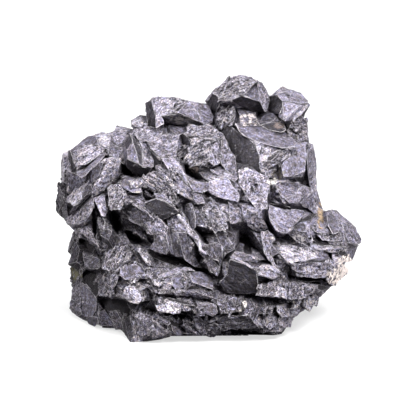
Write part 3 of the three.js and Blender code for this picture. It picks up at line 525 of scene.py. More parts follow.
# Each face: its look; how its striations run, in degrees from the right; and in millimetres, how far it
# stands out, and right and up of each corner.
CRYSTAL_FACES = (
    # The crest.
    ("polished", 80, 0.08, (-20.9, 79.6, -18.8, 80.6, -18.3, 78, -17.4, 75, -17.3, 71.4, -20, 72.2, -20.4,
     76)),
    ("frosted", 60, 0.2, (-18.7, 80.8, -17.6, 81.6, -14, 81.2, -11.2, 79.8, -12.4, 76, -15.4, 75.2, -14.6,
     72.8, -17, 71.5, -17.4, 76)),
    ("ribbed", 48, 0.12, (-14, 81.2, -11.6, 81.4, -8, 80.8, -6.2, 80.1, -9.8, 76.4, -12.4, 76, -11.2,
     79.8)),
    ("silky", -20, 0.2, (-6.2, 80.1, -1.5, 79.1, 0.2, 78.1, 1.6, 75, 1.2, 73.4, -1, 72.2, -2.2, 73.2, -9.8,
     76.2)),
    ("polished", -15, 0.04, (-15.2, 75, -10, 75.7, -1.9, 72.9, -6.5, 71.6, -9, 72.2, -12.4, 72.8)),
    ("silky", -35, 0.12, (-13.4, 72.6, -9, 72, -6.4, 71.2, -8.6, 69.2, -10.2, 68.4, -12, 70.4)),
    ("polished", -50, 0.12, (-14, 72.4, -10.4, 68.6, -13.4, 69.2)),
    ("polished", 60, 0.12, (-22.6, 75.8, -20.5, 75.5, -20, 72.4, -21.6, 74)),
    ("pale", -40, 0.12, (-25.4, 73.5, -24.4, 74.5, -22.8, 74.9, -21.4, 72.4, -23.4, 71.6, -24.8, 72)),
    ("frosted", 40, 0.16, (-24, 71.2, -20.4, 71.8, -17, 71.2, -14.8, 72.4, -15.4, 68.8, -19.4, 66.8, -22.6,
     67)),
    ("ribbed", 55, 0.16, (1.9, 83.2, 4.4, 86.1, 7.4, 87.8, 10.6, 89.2, 13, 88.4, 16, 87.1, 14.6, 85.4, 13,
     83.4, 11.6, 82, 8.4, 80.6, 4.2, 80.4, 3, 82.4)),
    ("charcoal", 55, 0.36, (15.9, 87, 15.3, 85.8, 13, 83.2, 11.6, 82.2, 10.8, 82.6, 12.4, 84.6, 13.4, 86.4,
     13.4, 87.4)),
    ("silky", 75, 0.32, (16.1, 87.1, 11.7, 82, 17.1, 80)),
    ("frosted", 75, 0.24, (16.2, 87.2, 18.2, 86.4, 19.4, 83.8, 20.3, 82, 20.4, 80.6, 19.7, 77.4, 19, 77,
     17.2, 80, 16.8, 84)),
    ("polished", -12, 0.08, (11.4, 81.8, 8, 80.4, 9.6, 79.2, 12, 77.9, 16, 76.9, 18.9, 76.9, 17, 79.9)),
    ("polished", 80, 0.08, (1.5, 83.2, 2.3, 83, 4.2, 80.3, 8, 80.3, 5, 79.6, 4, 79.6, 2.4, 75.8, 1.6, 77.6,
     0, 79.4)),
    ("polished", 60, 0.12, (20.5, 81.8, 22.6, 82.3, 24.6, 80.4, 24.8, 79, 24, 76.2, 21.6, 76.6, 20.2, 77.6,
     20.1, 80)),
    ("frosted", -10, 0.12, (23, 83.3, 24.4, 85, 28, 84.3, 28, 83, 27.4, 82.4, 24, 82.6)),
    ("silky", -15, 0.16, (23.2, 82.6, 27.8, 84.1, 31, 83.2, 33.3, 80.4, 33, 79.8, 30.8, 79.6, 24.9, 80.3)),
    ("silky", 48, 0.28, (24.9, 80.2, 30.3, 78.8, 28, 77, 25.6, 74.6, 25, 74)),
    ("polished", 45, 0.08, (33.6, 78.8, 32, 77.6, 29.8, 76.2, 31.8, 75, 32.8, 77)),
    ("ribbed", -20, 0.2, (26.6, 70.6, 28.4, 73.6, 31, 74.8, 32.6, 73.8, 33.1, 70, 32.8, 67.6, 29.6, 66.6,
     27.6, 68.4)),
    ("charcoal", 20, 0.08, (16.2, 73.6, 19, 76, 22, 76.2, 23.2, 75.4, 22, 74, 20.4, 73, 17.4, 72.2)),
    ("polished", -20, 0.08, (17.4, 72.1, 20.6, 73.2, 23, 72.9, 25.2, 70.2, 24, 69.9, 20, 70.7)),
    ("silky", -10, 0.12, (9.6, 77.6, 12, 77.6, 15.6, 76.2, 16, 74, 13.6, 73, 11.2, 72.6, 11, 75)),
    ("ribbed", 60, 0.12, (4, 79.4, 8, 79.2, 9, 77, 8.2, 74, 6, 71.4, 3.6, 71.8, 4.2, 76)),
    # The right side.
    ("smooth", -18, 0.24, (9.4, 72.6, 16.6, 72, 20, 70.8, 26, 69.4, 29, 66.4, 27.4, 64.8, 24.2, 64.6, 20,
     65.6, 16.4, 66.6, 12.2, 68.6, 10.8, 70)),
    ("polished", 78, 0.12, (4.6, 70.4, 6.8, 71, 8, 71.2, 10.6, 69, 12.2, 68.2, 15.8, 65.4, 16.6, 62, 17.2,
     57.4, 16.4, 56.2, 13.6, 57.4, 10, 57.2, 8.8, 60, 7.6, 64)),
    ("pale", 60, 0.36, (16, 65.4, 18, 64.8, 20.8, 64.2, 20.4, 62.6, 18.6, 60, 17.2, 60.2, 16.8, 62.6)),
    ("ribbed", 35, 0.28, (17.2, 59.8, 18.4, 59.6, 20.4, 62.2, 23, 63.4, 25, 63.8, 29, 64.6, 28.6, 62.6,
     24.6, 59.8, 22, 57, 20.4, 55.2, 18.4, 56, 17, 58)),
    ("smooth", 60, 0.48, (29.2, 64.4, 31.8, 65.4, 32.2, 62, 31.8, 57, 28, 55.4, 25, 55.2, 24.4, 58.6, 25.2,
     60, 28.4, 62.4)),
    ("frosted", 86, 0.16, (33, 66, 34.5, 65.2, 35.3, 62, 35.3, 58, 34, 56.4, 32.8, 57.4, 33, 62)),
    ("polished", 5, 0.04, (28.2, 54.9, 31.4, 55.2, 31.9, 54, 31.4, 53, 29.4, 53.6)),
    ("frosted", 20, 0.12, (31.6, 53, 32.6, 55.8, 34.8, 55.8, 35.3, 53.4, 33.8, 51.8, 31.8, 52.2)),
    ("silky", -20, 0.2, (22.6, 52, 24.6, 53.2, 29.8, 53, 30, 51, 28.6, 49, 24.6, 48, 23.6, 49.6)),
    ("silky", 25, 0.36, (28.6, 49, 30.2, 51.4, 32, 52, 30.8, 49.4, 30.6, 47.4, 29.8, 46.4, 26.8, 46.4, 25.4,
     47.8)),
    ("silky", 10, 0.16, (30.4, 46.4, 32.4, 48, 34.6, 50, 35, 47, 34.6, 45, 32, 44.8)),
    ("polished", -10, 0.04, (20.4, 45.9, 24, 46, 27.2, 44.9, 27.4, 44.2, 26, 43.8, 21.6, 45.2)),
    ("silky", -25, 0.36, (20.2, 45.2, 21.6, 45, 25.6, 43.6, 28, 44.2, 31, 43.6, 31.6, 42.6, 29.4, 40.4,
     27.4, 38.4, 25.6, 36.6, 24, 36.8, 22.2, 38, 20.4, 40.8, 20, 43)),
    ("polished", 35, 0.08, (30.2, 40.4, 33.6, 42.7, 35.8, 42.5, 34, 41, 32.4, 40.4)),
    ("frosted", 70, 0.12, (20.2, 51.6, 22, 52, 23.6, 49, 22.4, 48.6, 20.8, 46.6, 20.2, 49)),
    ("polished", 85, 0.08, (19.2, 49.4, 20.1, 49.6, 20.5, 46.6, 20, 45.8, 19.4, 47)),
    ("charcoal", -20, 0.08, (20.6, 36.4, 24, 36.6, 26, 36.4, 28.4, 34, 32, 32.6, 33.8, 30.6, 30, 31.4, 26,
     32.4, 23, 34.4)),
    ("charcoal", -45, 0.2, (26.4, 36.2, 28.2, 37.8, 29.4, 36.6, 32.4, 35.6, 33, 33.8, 31.8, 32.8, 28.8,
     34)),
    ("smooth", 20, 0.12, (28.4, 37.8, 29, 39, 31.4, 39.8, 32.4, 38.6, 32, 36.9, 30, 36.9)),
    ("silky", -15, 0.16, (34.8, 37.4, 36, 38.8, 39.4, 37.6, 41, 36.2, 36, 36.4)),
    ("frosted", 15, 0.16, (35.6, 36, 38, 34, 41, 33.6, 44, 35, 43.6, 36.4, 40.4, 35.4)),
    ("charcoal", 10, 0.28, (41, 34.6, 44, 35.6, 44.6, 33, 41.4, 33.2)),
    ("smooth", -60, 0.2, (39.4, 42.4, 41, 43.6, 42.8, 41, 43.2, 36.8, 41.2, 36.2, 39.6, 39)),
    ("silky", -35, 0.12, (41, 44, 43, 43.6, 45.4, 41.2, 48.8, 38.6, 46, 39.4, 43, 41.2, 41.6, 42.6)),
    ("frosted", -55, 0.16, (44.2, 39.4, 48.8, 38.3, 50.2, 34.8, 50.7, 33.2, 49.2, 32.6, 46.6, 33.4, 45.4,
     36.4)),
    ("polished", 0, 0.08, (45.8, 33.4, 49, 32.3, 50.4, 32.4, 47.8, 31.2, 46.4, 31.2)),
    ("polished", -40, 0.08, (43.4, 30.8, 45.4, 30.4, 46.6, 28.2, 47.3, 27.4, 44.8, 28.2, 43, 29.6)),
    ("black", -20, 0, (34.5, 35.6, 36.2, 33.8, 38, 33.2, 44, 32.5, 44, 31.9, 38, 32.3, 34.6, 32.8)),
    ("pale", -25, 0.16, (24, 31.8, 26.4, 32.2, 28.4, 30.8, 32, 30.4, 34.4, 30, 35.4, 28.4, 32.4, 27.8, 30,
     27.8, 27.4, 26.8, 25.4, 28, 24, 29.4)),
    ("silky", 0, 0.2, (34.4, 30.2, 39, 30.2, 40, 27.8, 36, 27.6, 35.4, 28.6)),
    ("black", -3, 0.04, (32.2, 27.9, 38, 27.6, 38, 26.8, 32.6, 27)),
    ("pale", -10, 0.2, (28, 26.6, 32, 26.6, 37.6, 26.8, 39.6, 27.6, 40.2, 24.4, 39.4, 21.8, 36, 21.8,
     33.4, 23, 29.4, 23.6, 27.6, 25)),
    ("black", -6, 0.04, (29.6, 23.3, 31, 22.4, 35.4, 22.2, 37, 20.8, 33, 20.4, 30, 21)),
    ("black", -20, 0.04, (36.4, 19.5, 39.3, 18.6, 39.6, 17.9, 37.4, 17.4, 35, 18.4)),
    ("ribbed", 86, 0.16, (16, 16.4, 17, 19.4, 20, 20.2, 24, 19.8, 28, 20.4, 32, 19.4, 34.6, 18.2, 32, 15.8,
     28, 14.8, 25, 15.2, 24, 16)),
    # The left wing.
    ("smooth", 45, 0.16, (-46.4, 63.9, -43.6, 65.7, -40.2, 68.6, -37.6, 68.4, -36.4, 65.6, -40.4, 66, -43.2,
     64.2, -43.4, 62)),
    ("pale", 65, 0.2, (-38.6, 68.4, -34, 69.4, -32.2, 68.2, -33.2, 64.4, -36.4, 66)),
    ("frosted", 70, 0.2, (-31.8, 69.6, -27.6, 68.7, -28.2, 64.6, -30, 61, -32.4, 62, -32.6, 66)),
    ("pale", 40, 0.36, (-43, 64, -40, 65.6, -36.8, 65.6, -34.2, 64, -37, 61.4, -40, 59.4, -42.6, 59.2,
     -43.2, 61.6)),
    ("polished", -65, 0.08, (-46.6, 63.8, -46, 63.8, -44.6, 59.8, -43.4, 57, -44.6, 56.4, -46, 59.6, -46.6,
     61)),
    ("silky", 42, 0.5, (-43.4, 56, -42, 56.6, -38.4, 59.8, -35.6, 62.2, -34, 62, -35.6, 60.2, -38.4, 57.6,
     -40.4, 55.4, -41.6, 54.6)),
    ("silky", 45, 0.3, (-46.4, 56.8, -43.8, 56, -41.8, 54.8, -41, 53.2, -42.6, 52, -45.4, 50, -46.2,
     52.4)),
    ("smooth", 55, 0.12, (-39.8, 55.8, -38, 57.6, -35.6, 59.8, -34.6, 59.4, -36, 55.4, -38.2, 53)),
    ("pale", 60, 0.32, (-38, 48.6, -38.2, 50.6, -37.2, 52.8, -35.4, 54.4, -34.2, 57.4, -33.8, 59.6, -32.8,
     60, -30.8, 58.2, -29.8, 56.4, -31, 54, -30.2, 52.4, -33, 51.8, -35, 50)),
    ("pale", 42, 0.4, (-47.2, 47, -45.6, 48.8, -44.2, 50.8, -41.8, 52.2, -40.4, 52.6, -40.4, 51.4, -41.8,
     49.6, -41.8, 47.8, -42.8, 46.4, -44.2, 45.4, -45.4, 46.4)),
    ("smooth", 45, 0.1, (-41.6, 49.8, -40.2, 52.2, -38.4, 52, -38.2, 50.4, -40, 48.8, -41.6, 47.8)),
    ("black", 0, 0, (-46.6, 46.6, -44, 46.2, -45, 44.4, -46.8, 43)),
    ("pale", 45, 0.4, (-47, 40.2, -45.6, 42.4, -43.4, 44.8, -41, 47, -39.2, 48.6, -37.9, 47.6, -37.8,
     45.4, -38.6, 43, -40, 41.2, -42.4, 39.8, -45, 39.2)),
    ("silky", 45, 0.3, (-45.8, 43, -44.4, 45.2, -43, 46.2, -40.2, 49, -38.6, 49.4, -40.8, 47.2, -43.2, 44.9,
     -44.4, 43)),
    ("polished", -60, 0, (-37.6, 47.4, -36, 44, -34.6, 42, -36.4, 40, -38, 42)),
    ("silky", -68, 0.2, (-37.5, 47.8, -34.2, 48.6, -33.5, 44, -33.8, 42, -35, 42.4)),
    ("ribbed", 65, 0.24, (-33, 50.8, -31.8, 52.2, -29, 52, -27, 49, -27.6, 46.4, -29, 44.4, -31.6, 44.2,
     -32.6, 46.6)),
    ("smooth", -30, 0.16, (-29, 53.4, -26.6, 55.2, -22.8, 52.6, -21.8, 50, -24.6, 49.8, -28, 51.4)),
    ("frosted", -40, 0.32, (-28, 51, -22, 49.4, -20.6, 46.6, -21, 43.6, -24.6, 45.8, -27, 48)),
    ("charcoal", -35, 0.2, (-27.4, 44.6, -24.4, 46, -20.6, 43.8, -18, 41, -20, 39, -24, 40.6, -27, 43)),
    ("frosted", -60, 0.2, (-43, 37.6, -40.4, 38.4, -38, 36, -36, 32, -38.4, 33.6, -40.6, 35.4)),
    ("black", -10, 0, (-44.8, 36.4, -42.6, 35.6, -40, 34.6, -36.2, 31.6, -36, 28.4, -38, 29.4, -42, 29.8,
     -44.4, 28)),
    # The middle.
    ("frosted", 30, 0.2, (-19.4, 66.4, -15.4, 68.6, -13.4, 69, -10, 68, -10.8, 62.5, -11, 60.8, -14.5, 60.4,
     -18.6, 64.5)),
    ("polished", 70, 0.08, (-25.8, 69, -27.8, 66.2, -27.2, 64, -26.6, 64, -25, 66.6)),
    ("silky", 75, 0.12, (-25, 66.4, -26.6, 64, -26.4, 61.2, -22.8, 59.4, -23.6, 63)),
    ("polished", -70, 0, (-25.4, 68.4, -23.4, 67, -22, 63.5, -21.4, 58.8, -22.6, 59, -23.6, 63, -24.8,
     66.6)),
    ("frosted", -75, 0.28, (-24.2, 68.6, -20, 65, -18.6, 62.6, -17.9, 58.4, -20, 57.8, -21.6, 58.4, -21.2,
     62, -22.6, 66.6)),
    ("polished", 10, 0.12, (-26.6, 60.8, -22.8, 59.2, -21.4, 58.6, -18.5, 58, -19.8, 55.6, -22.8, 54.8,
     -25.4, 57, -26.8, 58.4)),
    ("polished", -65, 0.08, (-18.8, 64.6, -15.2, 60.2, -15.4, 57.6, -17.8, 56.8, -18.4, 60)),
    ("frosted", 75, 0.28, (4.6, 66.6, 5.4, 68, 7, 64, 8.8, 61, 9.4, 57.4, 8, 55.6, 6.4, 57, 4.6, 59, 4.4,
     63)),
    ("frosted", 80, 0.24, (1, 64.4, 3, 66.4, 4, 65, 3.8, 59.6, 2, 58.4, 0.6, 60.4)),
    ("ribbed", 45, 0.16, (-7, 62, -3.6, 65.8, 0.4, 66.4, 1, 62, -1, 59, -5.6, 58.4)),
    ("ribbed", 50, 0.16, (-6, 68.6, -3.6, 71.6, 1, 71.6, 4.4, 68.8, 2.6, 67, -3, 68)),
    ("black", 0, 0.08, (-3.2, 67.6, -0.8, 67.4, 2.4, 66.8, -0.4, 65.9, -2.2, 66)),
    ("polished", 70, 0.08, (-9, 68.6, -7.6, 69, -6, 66.4, -5.2, 65.2, -6.6, 64.2, -8.4, 65.6)),
    ("ribbed", 45, 0.16, (-10.6, 62.6, -8.6, 64.6, -6.8, 63.6, -7, 61.8, -9.4, 61)),
    ("black", -40, 0, (-9.6, 61.2, -8, 61.4, -6.6, 60, -6.4, 57.6, -4, 56.2, -0.6, 54.2, 0.4, 53.2, -3,
     53.2, -5.6, 54.4, -8, 56.4, -8.8, 58.6)),
    ("frosted", -25, 0.2, (-3.4, 56.8, -1, 56.2, 2, 55.6, 3, 54.6, 0.6, 53.8, -1.4, 54.6)),
    ("polished", -10, 0.16, (-2.8, 57.8, 1, 57.6, 2, 56.4, -0.6, 56.6)),
    ("silky", -60, 0.28, (-15, 60.6, -11.2, 60.8, -8.8, 58, -7.8, 55.8, -5.2, 50.6, -6, 49.2, -9.4, 49.8,
     -11.6, 52.4, -12, 56)),
    ("ribbed", -35, 0.2, (-21.6, 54.6, -18, 56.4, -15, 57, -12.2, 55.8, -11.8, 52.2, -9.8, 50.2, -12, 46,
     -16, 48.6, -19, 51)),
    ("smooth", -35, 0.2, (-8, 56, -4, 53.4, 0.4, 53, 1, 51, -2, 49.8, -4.6, 50.2, -6, 52.6)),
    ("silky", -30, 0.32, (0.6, 53.4, 3, 54, 6.4, 54.4, 7.6, 52.4, 10, 49, 9.6, 46.8, 6.4, 47.6, 3, 48.4, 0.6,
     50)),
    ("polished", -60, 0.24, (6.6, 54.6, 8.4, 53.6, 9.2, 51.6, 8.2, 51.4, 7, 52.4)),
    ("frosted", -20, 0.28, (1, 57.2, 4.6, 58.4, 6.6, 55.6, 9.4, 57, 10.4, 55, 8.4, 53.6, 6.6, 54.8, 3,
     55.6)),
    ("polished", -15, 0.12, (-20.6, 46.2, -16.8, 47.6, -14, 46.6, -11, 44.8, -9.8, 43.4, -12.6, 42, -15,
     40.9, -18.4, 42.8)),
    ("frosted", -35, 0.24, (-17.6, 49.4, -14, 49.4, -11.8, 46.4, -10.8, 45.4, -14.2, 46.8, -16.8, 47.8)),
    ("polished", -80, 0.12, (-11.6, 50.6, -10.4, 50, -9.6, 48, -10.4, 46.6, -11.4, 48)),
    ("silky", -50, 0.28, (-5, 49.6, -2.4, 49.8, -1.2, 46.4, -3.4, 46, -4.6, 47.6)),
    ("polished", -45, 0.12, (-2.4, 49.6, -0.6, 47.6, 1.6, 47, 2.8, 45.6, 1.4, 45, -0.6, 46.4)),
    ("ribbed", -50, 0.2, (-1, 46, 1.4, 46.4, 3, 44.6, 4.4, 41.8, 5.6, 40, 6, 38.4, 2.4, 36.9, 0.2, 38.6, -2,
     43)),
    ("charcoal", -60, 0.12, (-7.6, 46.4, -5.4, 45.8, -4.2, 42.2, -4.2, 38.6, -5.4, 37.4, -6.6, 41.4, -8,
     44.4)),
    ("frosted", -30, 0.16, (6.8, 47, 9, 45.6, 10.6, 44, 11, 41.6, 9, 39.6, 7.4, 40, 7, 42.4)),
    ("frosted", 75, 0.1, (10.2, 57, 13, 57.4, 15.4, 56.4, 19.4, 54.8, 19.8, 51, 19, 47.8, 19.2, 45, 16,
     44.6, 14.8, 46, 12, 49.6, 10.4, 52.6)),
    ("pale", -45, 0.24, (13, 44, 17, 41.4, 18, 40.4, 19.2, 38.4, 17.4, 36.4, 15.6, 37, 13.4, 38.6, 12.4,
     42)),
    ("black", -50, 0, (16.4, 41.4, 19.4, 40.8, 21.6, 37.4, 20.8, 36.2, 19.6, 37.6, 17.6, 40.4)),
    ("black", -80, 0, (10.3, 38, 13.2, 37.4, 14.4, 34, 17, 30.4, 14.6, 28.9, 12, 29.4, 10.4, 33)),
    # The blades under the middle.
    ("charcoal", -60, 0.2, (-18.8, 31.4, -16.4, 35.6, -13.4, 33.4, -12.4, 31, -13.6, 29.8, -16, 30.2)),
    ("frosted", -55, 0.2, (-20, 39.4, -16.4, 41.4, -13.4, 38.4, -13.4, 34, -16.4, 35.8, -19.6, 36.6)),
    ("silky", -75, 0.28, (-13.6, 37, -12.6, 38.6, -11.8, 33, -11, 29.4, -12.2, 30, -13.2, 34)),
    ("frosted", -50, 0.24, (-12.4, 41.6, -9.8, 43, -6.4, 38, -6, 36.4, -10.2, 36.4, -12, 38)),
    ("charcoal", -75, 0.16, (-12.2, 37.6, -10.4, 37, -9.2, 33.6, -7.8, 29.4, -10.6, 29.2, -11.8, 32.4)),
    ("charcoal", -70, 0.24, (-9.8, 36.6, -7, 36.4, -6.4, 34, -6, 30.6, -4, 28.4, -2.2, 25.4, -4.6, 25.8,
     -7.6, 28, -8.6, 32)),
    ("silky", -40, 0.36, (-5.2, 36.8, -3.2, 35.8, -2.8, 34.6, -4.8, 35.2)),
    ("black", -5, 0, (-3.6, 37.2, -1, 36.4, 2, 36.6, 3, 35, 1.6, 35.6, -1.4, 35.2, -2.6, 33.6, -3, 35)),
    ("pale", -20, 0.28, (-0.6, 34.8, 1, 34.8, 2.4, 33.2, 0.6, 32.6)),
    ("charcoal", -75, 0.16, (-2, 33, 0, 32.4, 2.6, 33.4, 4.2, 32.6, 4.4, 28, 3.8, 25, 3, 23, 0.6, 24, -0.6,
     28, -2.4, 29.8)),
    ("charcoal", -60, 0.2, (2.6, 36.6, 4.6, 37.4, 6, 34.6, 7.8, 31.6, 5.6, 31, 4, 32.8)),
    ("frosted", -20, 0.16, (7.4, 28.6, 9.4, 30.6, 12, 29.6, 15.8, 28.4, 15.8, 27, 12, 27.4)),
    ("pale", 80, 0.28, (4.6, 26.8, 6.4, 27, 6.6, 23, 5, 22.8)),
    ("black", -60, 0, (0.4, 24, 2.2, 22, 3.8, 21, 4.2, 24, 3.4, 27.4, 1.6, 28)),
    ("polished", -50, 0.24, (7.2, 27.8, 12, 26.2, 15.4, 24.2, 16, 20.4, 15.6, 17.4, 10, 16.8, 6, 17.4, 4.2,
     20.6, 6.4, 23)),
    ("frosted", -65, 0.2, (17.4, 36.6, 19.6, 37, 21.8, 35.2, 21, 33.2, 20.2, 30, 21.8, 26.6, 24, 23.8, 22.6,
     23.8, 20.6, 26.6, 18.6, 30, 17.6, 33)),
    ("silky", -12, 0.24, (16, 24, 20, 24, 23.2, 22.6, 21.2, 21.6)),
    ("smooth", -10, 0.12, (16.4, 22.9, 16, 20.4, 20, 20.4, 22.8, 21.5, 21.2, 21.4)),
    # The foot.
    ("black", -20, 0, (-19, 30.6, -16.4, 29.8, -12, 29, -9, 27.8, -5.4, 25.4, -4.6, 24.4, -8, 25.4, -13,
     26.4, -15.2, 27.4, -18, 28.6)),
    ("smooth", -15, 0.32, (-5.8, 23.6, -2, 23.6, 0.6, 22.4, 1.6, 20.6, 1.4, 18.4, -2, 19.4, -5, 20.6)),
    ("smooth", 60, 0.28, (-11.8, 21.8, -9, 23.8, -8.2, 22, -8, 19, -10.2, 18, -11.6, 19.6)),
    ("frosted", 20, 0.16, (-16, 22.6, -10, 25.4, -7, 25.6, -4.4, 24.2, -8.4, 24, -12, 23, -15.4, 21.4)),
    ("ribbed", -50, 0.16, (-8, 23.4, -6.4, 23.2, -4, 19.6, -7.6, 18.4, -8.2, 20.4)),
    ("pale", -20, 0.2, (-14.6, 20.8, -11.6, 20.6, -12, 18, -15, 18.6)),
    ("smooth", -5, 0.2, (-3.6, 13.8, -1, 13.6, 2.4, 13.4, 3, 11, 1.6, 9.4, -0.6, 10.4, -2.6, 10.8)),
    ("frosted", -10, 0.16, (3.2, 14, 8, 13.8, 10, 12.6, 8.6, 11.2, 6.4, 11.8, 3.4, 12.6)),
    ("black", -12, 0, (-17, 16, -12, 15.2, -7, 14.2, -4.4, 13, -8, 13.4, -14, 14.8)),
    ("black", -8, 0, (-16.6, 10.8, -10, 10, -3, 9.4, -8, 8.2, -14, 8.6)),
    ("smooth", -3, 0.16, (12.4, 15.2, 16, 15.8, 20, 15.4, 19.6, 13.6, 15.6, 13, 12.6, 14)),
    ("charcoal", -12, 0.16, (20, 15.6, 24, 15.8, 26.4, 14.4, 23, 13.4, 20.6, 14)),
    ("black", -55, 0.04, (19.4, 13.4, 22.4, 12.4, 22.8, 10.4, 21, 10.6)),
    ("pale", -30, 0.4, (22.4, 12.8, 25, 13.4, 30, 12.6, 32.6, 12.4, 31, 10.8, 27.6, 9.4, 24.6, 9.2, 23,
     10.6)),
    ("charcoal", 20, 0.12, (-41.2, 28.2, -38.6, 28.8, -36, 27.8, -36, 24.8, -38.6, 24.6, -40.6, 25.6)),
    ("ribbed", 62, 0.2, (-33.6, 29, -32, 31.4, -28.6, 32, -26, 30.6, -24.6, 29.8, -26.8, 26.4, -27.6, 24.8,
     -31, 24, -34.4, 25)),
    ("charcoal", -60, 0.16, (-24.4, 31, -22.8, 31, -19.8, 26, -20.6, 24.6, -23.4, 27.2)),
    ("smooth", 10, 0.28, (-28, 25.4, -24, 26.2, -21, 24.6, -20.6, 22.6, -23, 21.6, -27, 21.4, -28.8, 22.8)),
    ("ribbed", 50, 0.2, (-36, 23.6, -33.8, 22.6, -30.2, 22.8, -30, 20.6, -31.4, 17.4, -33, 16, -35.8, 16,
     -36, 20)),
    ("pale", -30, 0.32, (-27.8, 16, -26.6, 19, -24.6, 19.2, -22.8, 17.6, -21.6, 15.4, -23, 13.6, -25.4,
     14)),
    ("black", 80, 0, (-41.4, 24, -38, 23.4, -36.2, 22.4, -36, 17, -37.2, 15.4, -39.6, 18, -41.8, 19.8)),
    ("sooty", -60, 0.3, (-44.6, 26.6, -42.4, 27, -41.6, 24.6, -42, 20.2, -43.4, 19.6, -44.4, 21.6)),
    ("silky", -70, 0.5, (-42.8, 18, -40.4, 19.2, -38.4, 17, -37, 14.6, -37.2, 11, -38.6, 8.8, -40.6, 8.6,
     -42.2, 9.6, -41.8, 12, -42, 15)),
    ("frosted", 40, 0.2, (-46.2, 11, -45.4, 13.6, -44, 13.6, -42.4, 14.8, -42.2, 12, -42.2, 9.4, -43.4, 8.6,
     -45.4, 9.8)),
    ("frosted", 60, 0.3, (-45, 16.4, -43.6, 18.6, -42.8, 17, -42.6, 15, -44, 13.8)),
    ("charcoal", -45, 0.7, (-36.2, 6.2, -35.8, 10.2, -34.2, 10.6, -32.6, 8.4, -31, 6, -33.2, 5.6)),
    ("smooth", 30, 0.5, (-40.6, 7.8, -38.6, 8.8, -36.6, 8.4, -36.4, 6.6, -37.6, 5.4, -39.6, 6.2)),
    ("charcoal", -50, 0.4, (-32.4, 9.6, -30.2, 10.8, -28.6, 8, -28.2, 4.8, -30.6, 4.6, -31.2, 6.6)),
    ("black", 0, 0, (-35.6, 14.6, -32.6, 15, -28, 14.2, -23.2, 13.2, -22.6, 11.8, -25, 10, -27.4, 7, -29.4,
     11, -32.4, 10.6, -35, 12)),
    ("frosted", 70, 0.5, (-22.4, 10.2, -20, 9.8, -18.2, 8.8, -18.2, 6, -19, 3.2, -21.8, 2.2, -22.6, 6)),
    ("pale", -45, 0.9, (-18, 8, -16.8, 7.6, -15.2, 5.8, -13.2, 4.4, -14, 3.2, -16, 2.6, -18, 2, -18.4,
     4.6)),
    ("silky", 80, 0.3, (-20.4, 12, -18.4, 14.8, -17.6, 14.6, -16.6, 13.6, -17, 11.2, -17.8, 10.2, -19,
     10.6)),
    ("pale", 85, 0.3, (-17, 13, -16.4, 11.4, -14.6, 11, -11, 10.4, -9.4, 10.6, -9.2, 13.4, -12, 14, -13.6,
     15, -14.6, 13.6)),
    ("pale", -30, 0.3, (-8.8, 11.4, -7, 12, -5.2, 10.6, -6, 9.4, -8, 9)),
    ("silky", -32, 0.5, (-17.6, 10.4, -15, 8.8, -13, 8.1, -12.2, 7.1, -13.2, 6.5, -16, 8, -18, 9)),
    ("black", -20, 0.1, (-13, 6.7, -12.4, 8.8, -8.4, 7.8, -8, 6.6, -10.6, 6, -12, 5)),
    ("silky", -45, 0.3, (-12, 6.4, -10, 5.6, -8.4, 4.2, -9, 3, -10.6, 3.4, -11.6, 4.8)),
    ("frosted", -40, 0.3, (-8.8, 6.2, -6.8, 7.4, -4.4, 5.2, -2.8, 3.2, -4.2, 3, -6.4, 4.6)),
    ("frosted", -60, 0.3, (-4.8, 9.2, -3, 9.8, -1.4, 7.4, -0.8, 4, -2, 3.4, -3.6, 5.8)),
    ("charcoal", -8, 0.3, (3.2, 8.6, 7.4, 9.8, 11.6, 8.8, 13.2, 7.4, 10.4, 6.6, 7, 6.8, 4.4, 7.2)),
    ("sooty", -30, 0.3, (-0.4, 6.4, 2, 7.2, 4.4, 6, 4, 3.8, 2, 2.4, -0.2, 3)),
    ("black", -8, 0.3, (7.4, 6, 10, 6.3, 14, 5.5, 18.6, 4.3, 21.4, 2.8, 17, 1.6, 11, 2, 8, 3.6)),
    ("pale", -45, 0.4, (14, 10, 16.8, 9.4, 18.8, 8.6, 17.4, 6.8, 16.2, 6.4, 14.6, 8)),
    ("pale", -60, 0.5, (19, 8.8, 21.4, 10, 22.8, 8.4, 22, 6, 20, 5, 18.6, 6.6)),
    ("pale", -50, 0.4, (23.4, 9.6, 26.2, 9.8, 28, 8, 27, 5.8, 24.6, 5.4, 23, 7.4)),
    ("pale", 88, 0.3, (16.2, 16.6, 17.4, 19.4, 19.8, 19.8, 21, 19, 22.8, 19.4, 25.2, 18, 25.4, 15.2, 24, 16,
     20, 16)),
)
SPREAD = 1.06
FIT_SHRINKS = (0.92, 0.7, 0.45, 0.2)
FIT_ROUNDS = 3
FIT_OUTLIER = 1.5
STEEPEST = 2.6
SITS_OVER = 50
LOOK_FROM = 70
SLAB_DEPTH = 3.2
SLAB_TAPER = 0.86
SLAB_EDGES = (0.85 * MM, 2.0 * MM)


def surface_of(made):
    """The surface of a finished mesh, for finding what lies under a place on the face."""
    mesh = made.data
    points = [vertex.co for vertex in mesh.vertices]
    return BVHTree.FromPolygons(points, [tuple(polygon.vertices) for polygon in mesh.polygons])


def height_at(surfaces, right, up):
    """How far out the frontmost surface lies at a place on the face, in millimetres."""
    heights = []
    for surface in surfaces:
        hit = surface.ray_cast(on_face(right, up, LOOK_FROM), -FRONT)[0]
        if hit is not None:
            heights.append(seen_from_front(np.array(hit)[None])[0, 2])
    return max(heights) if heights else None


def out_of_plane(places, middle, plane):
    """How far each place stands out from a plane: its height at the middle, and its two slopes."""
    return places[:, 2] - plane[0] - (places[:, :2] - middle) @ plane[1:]


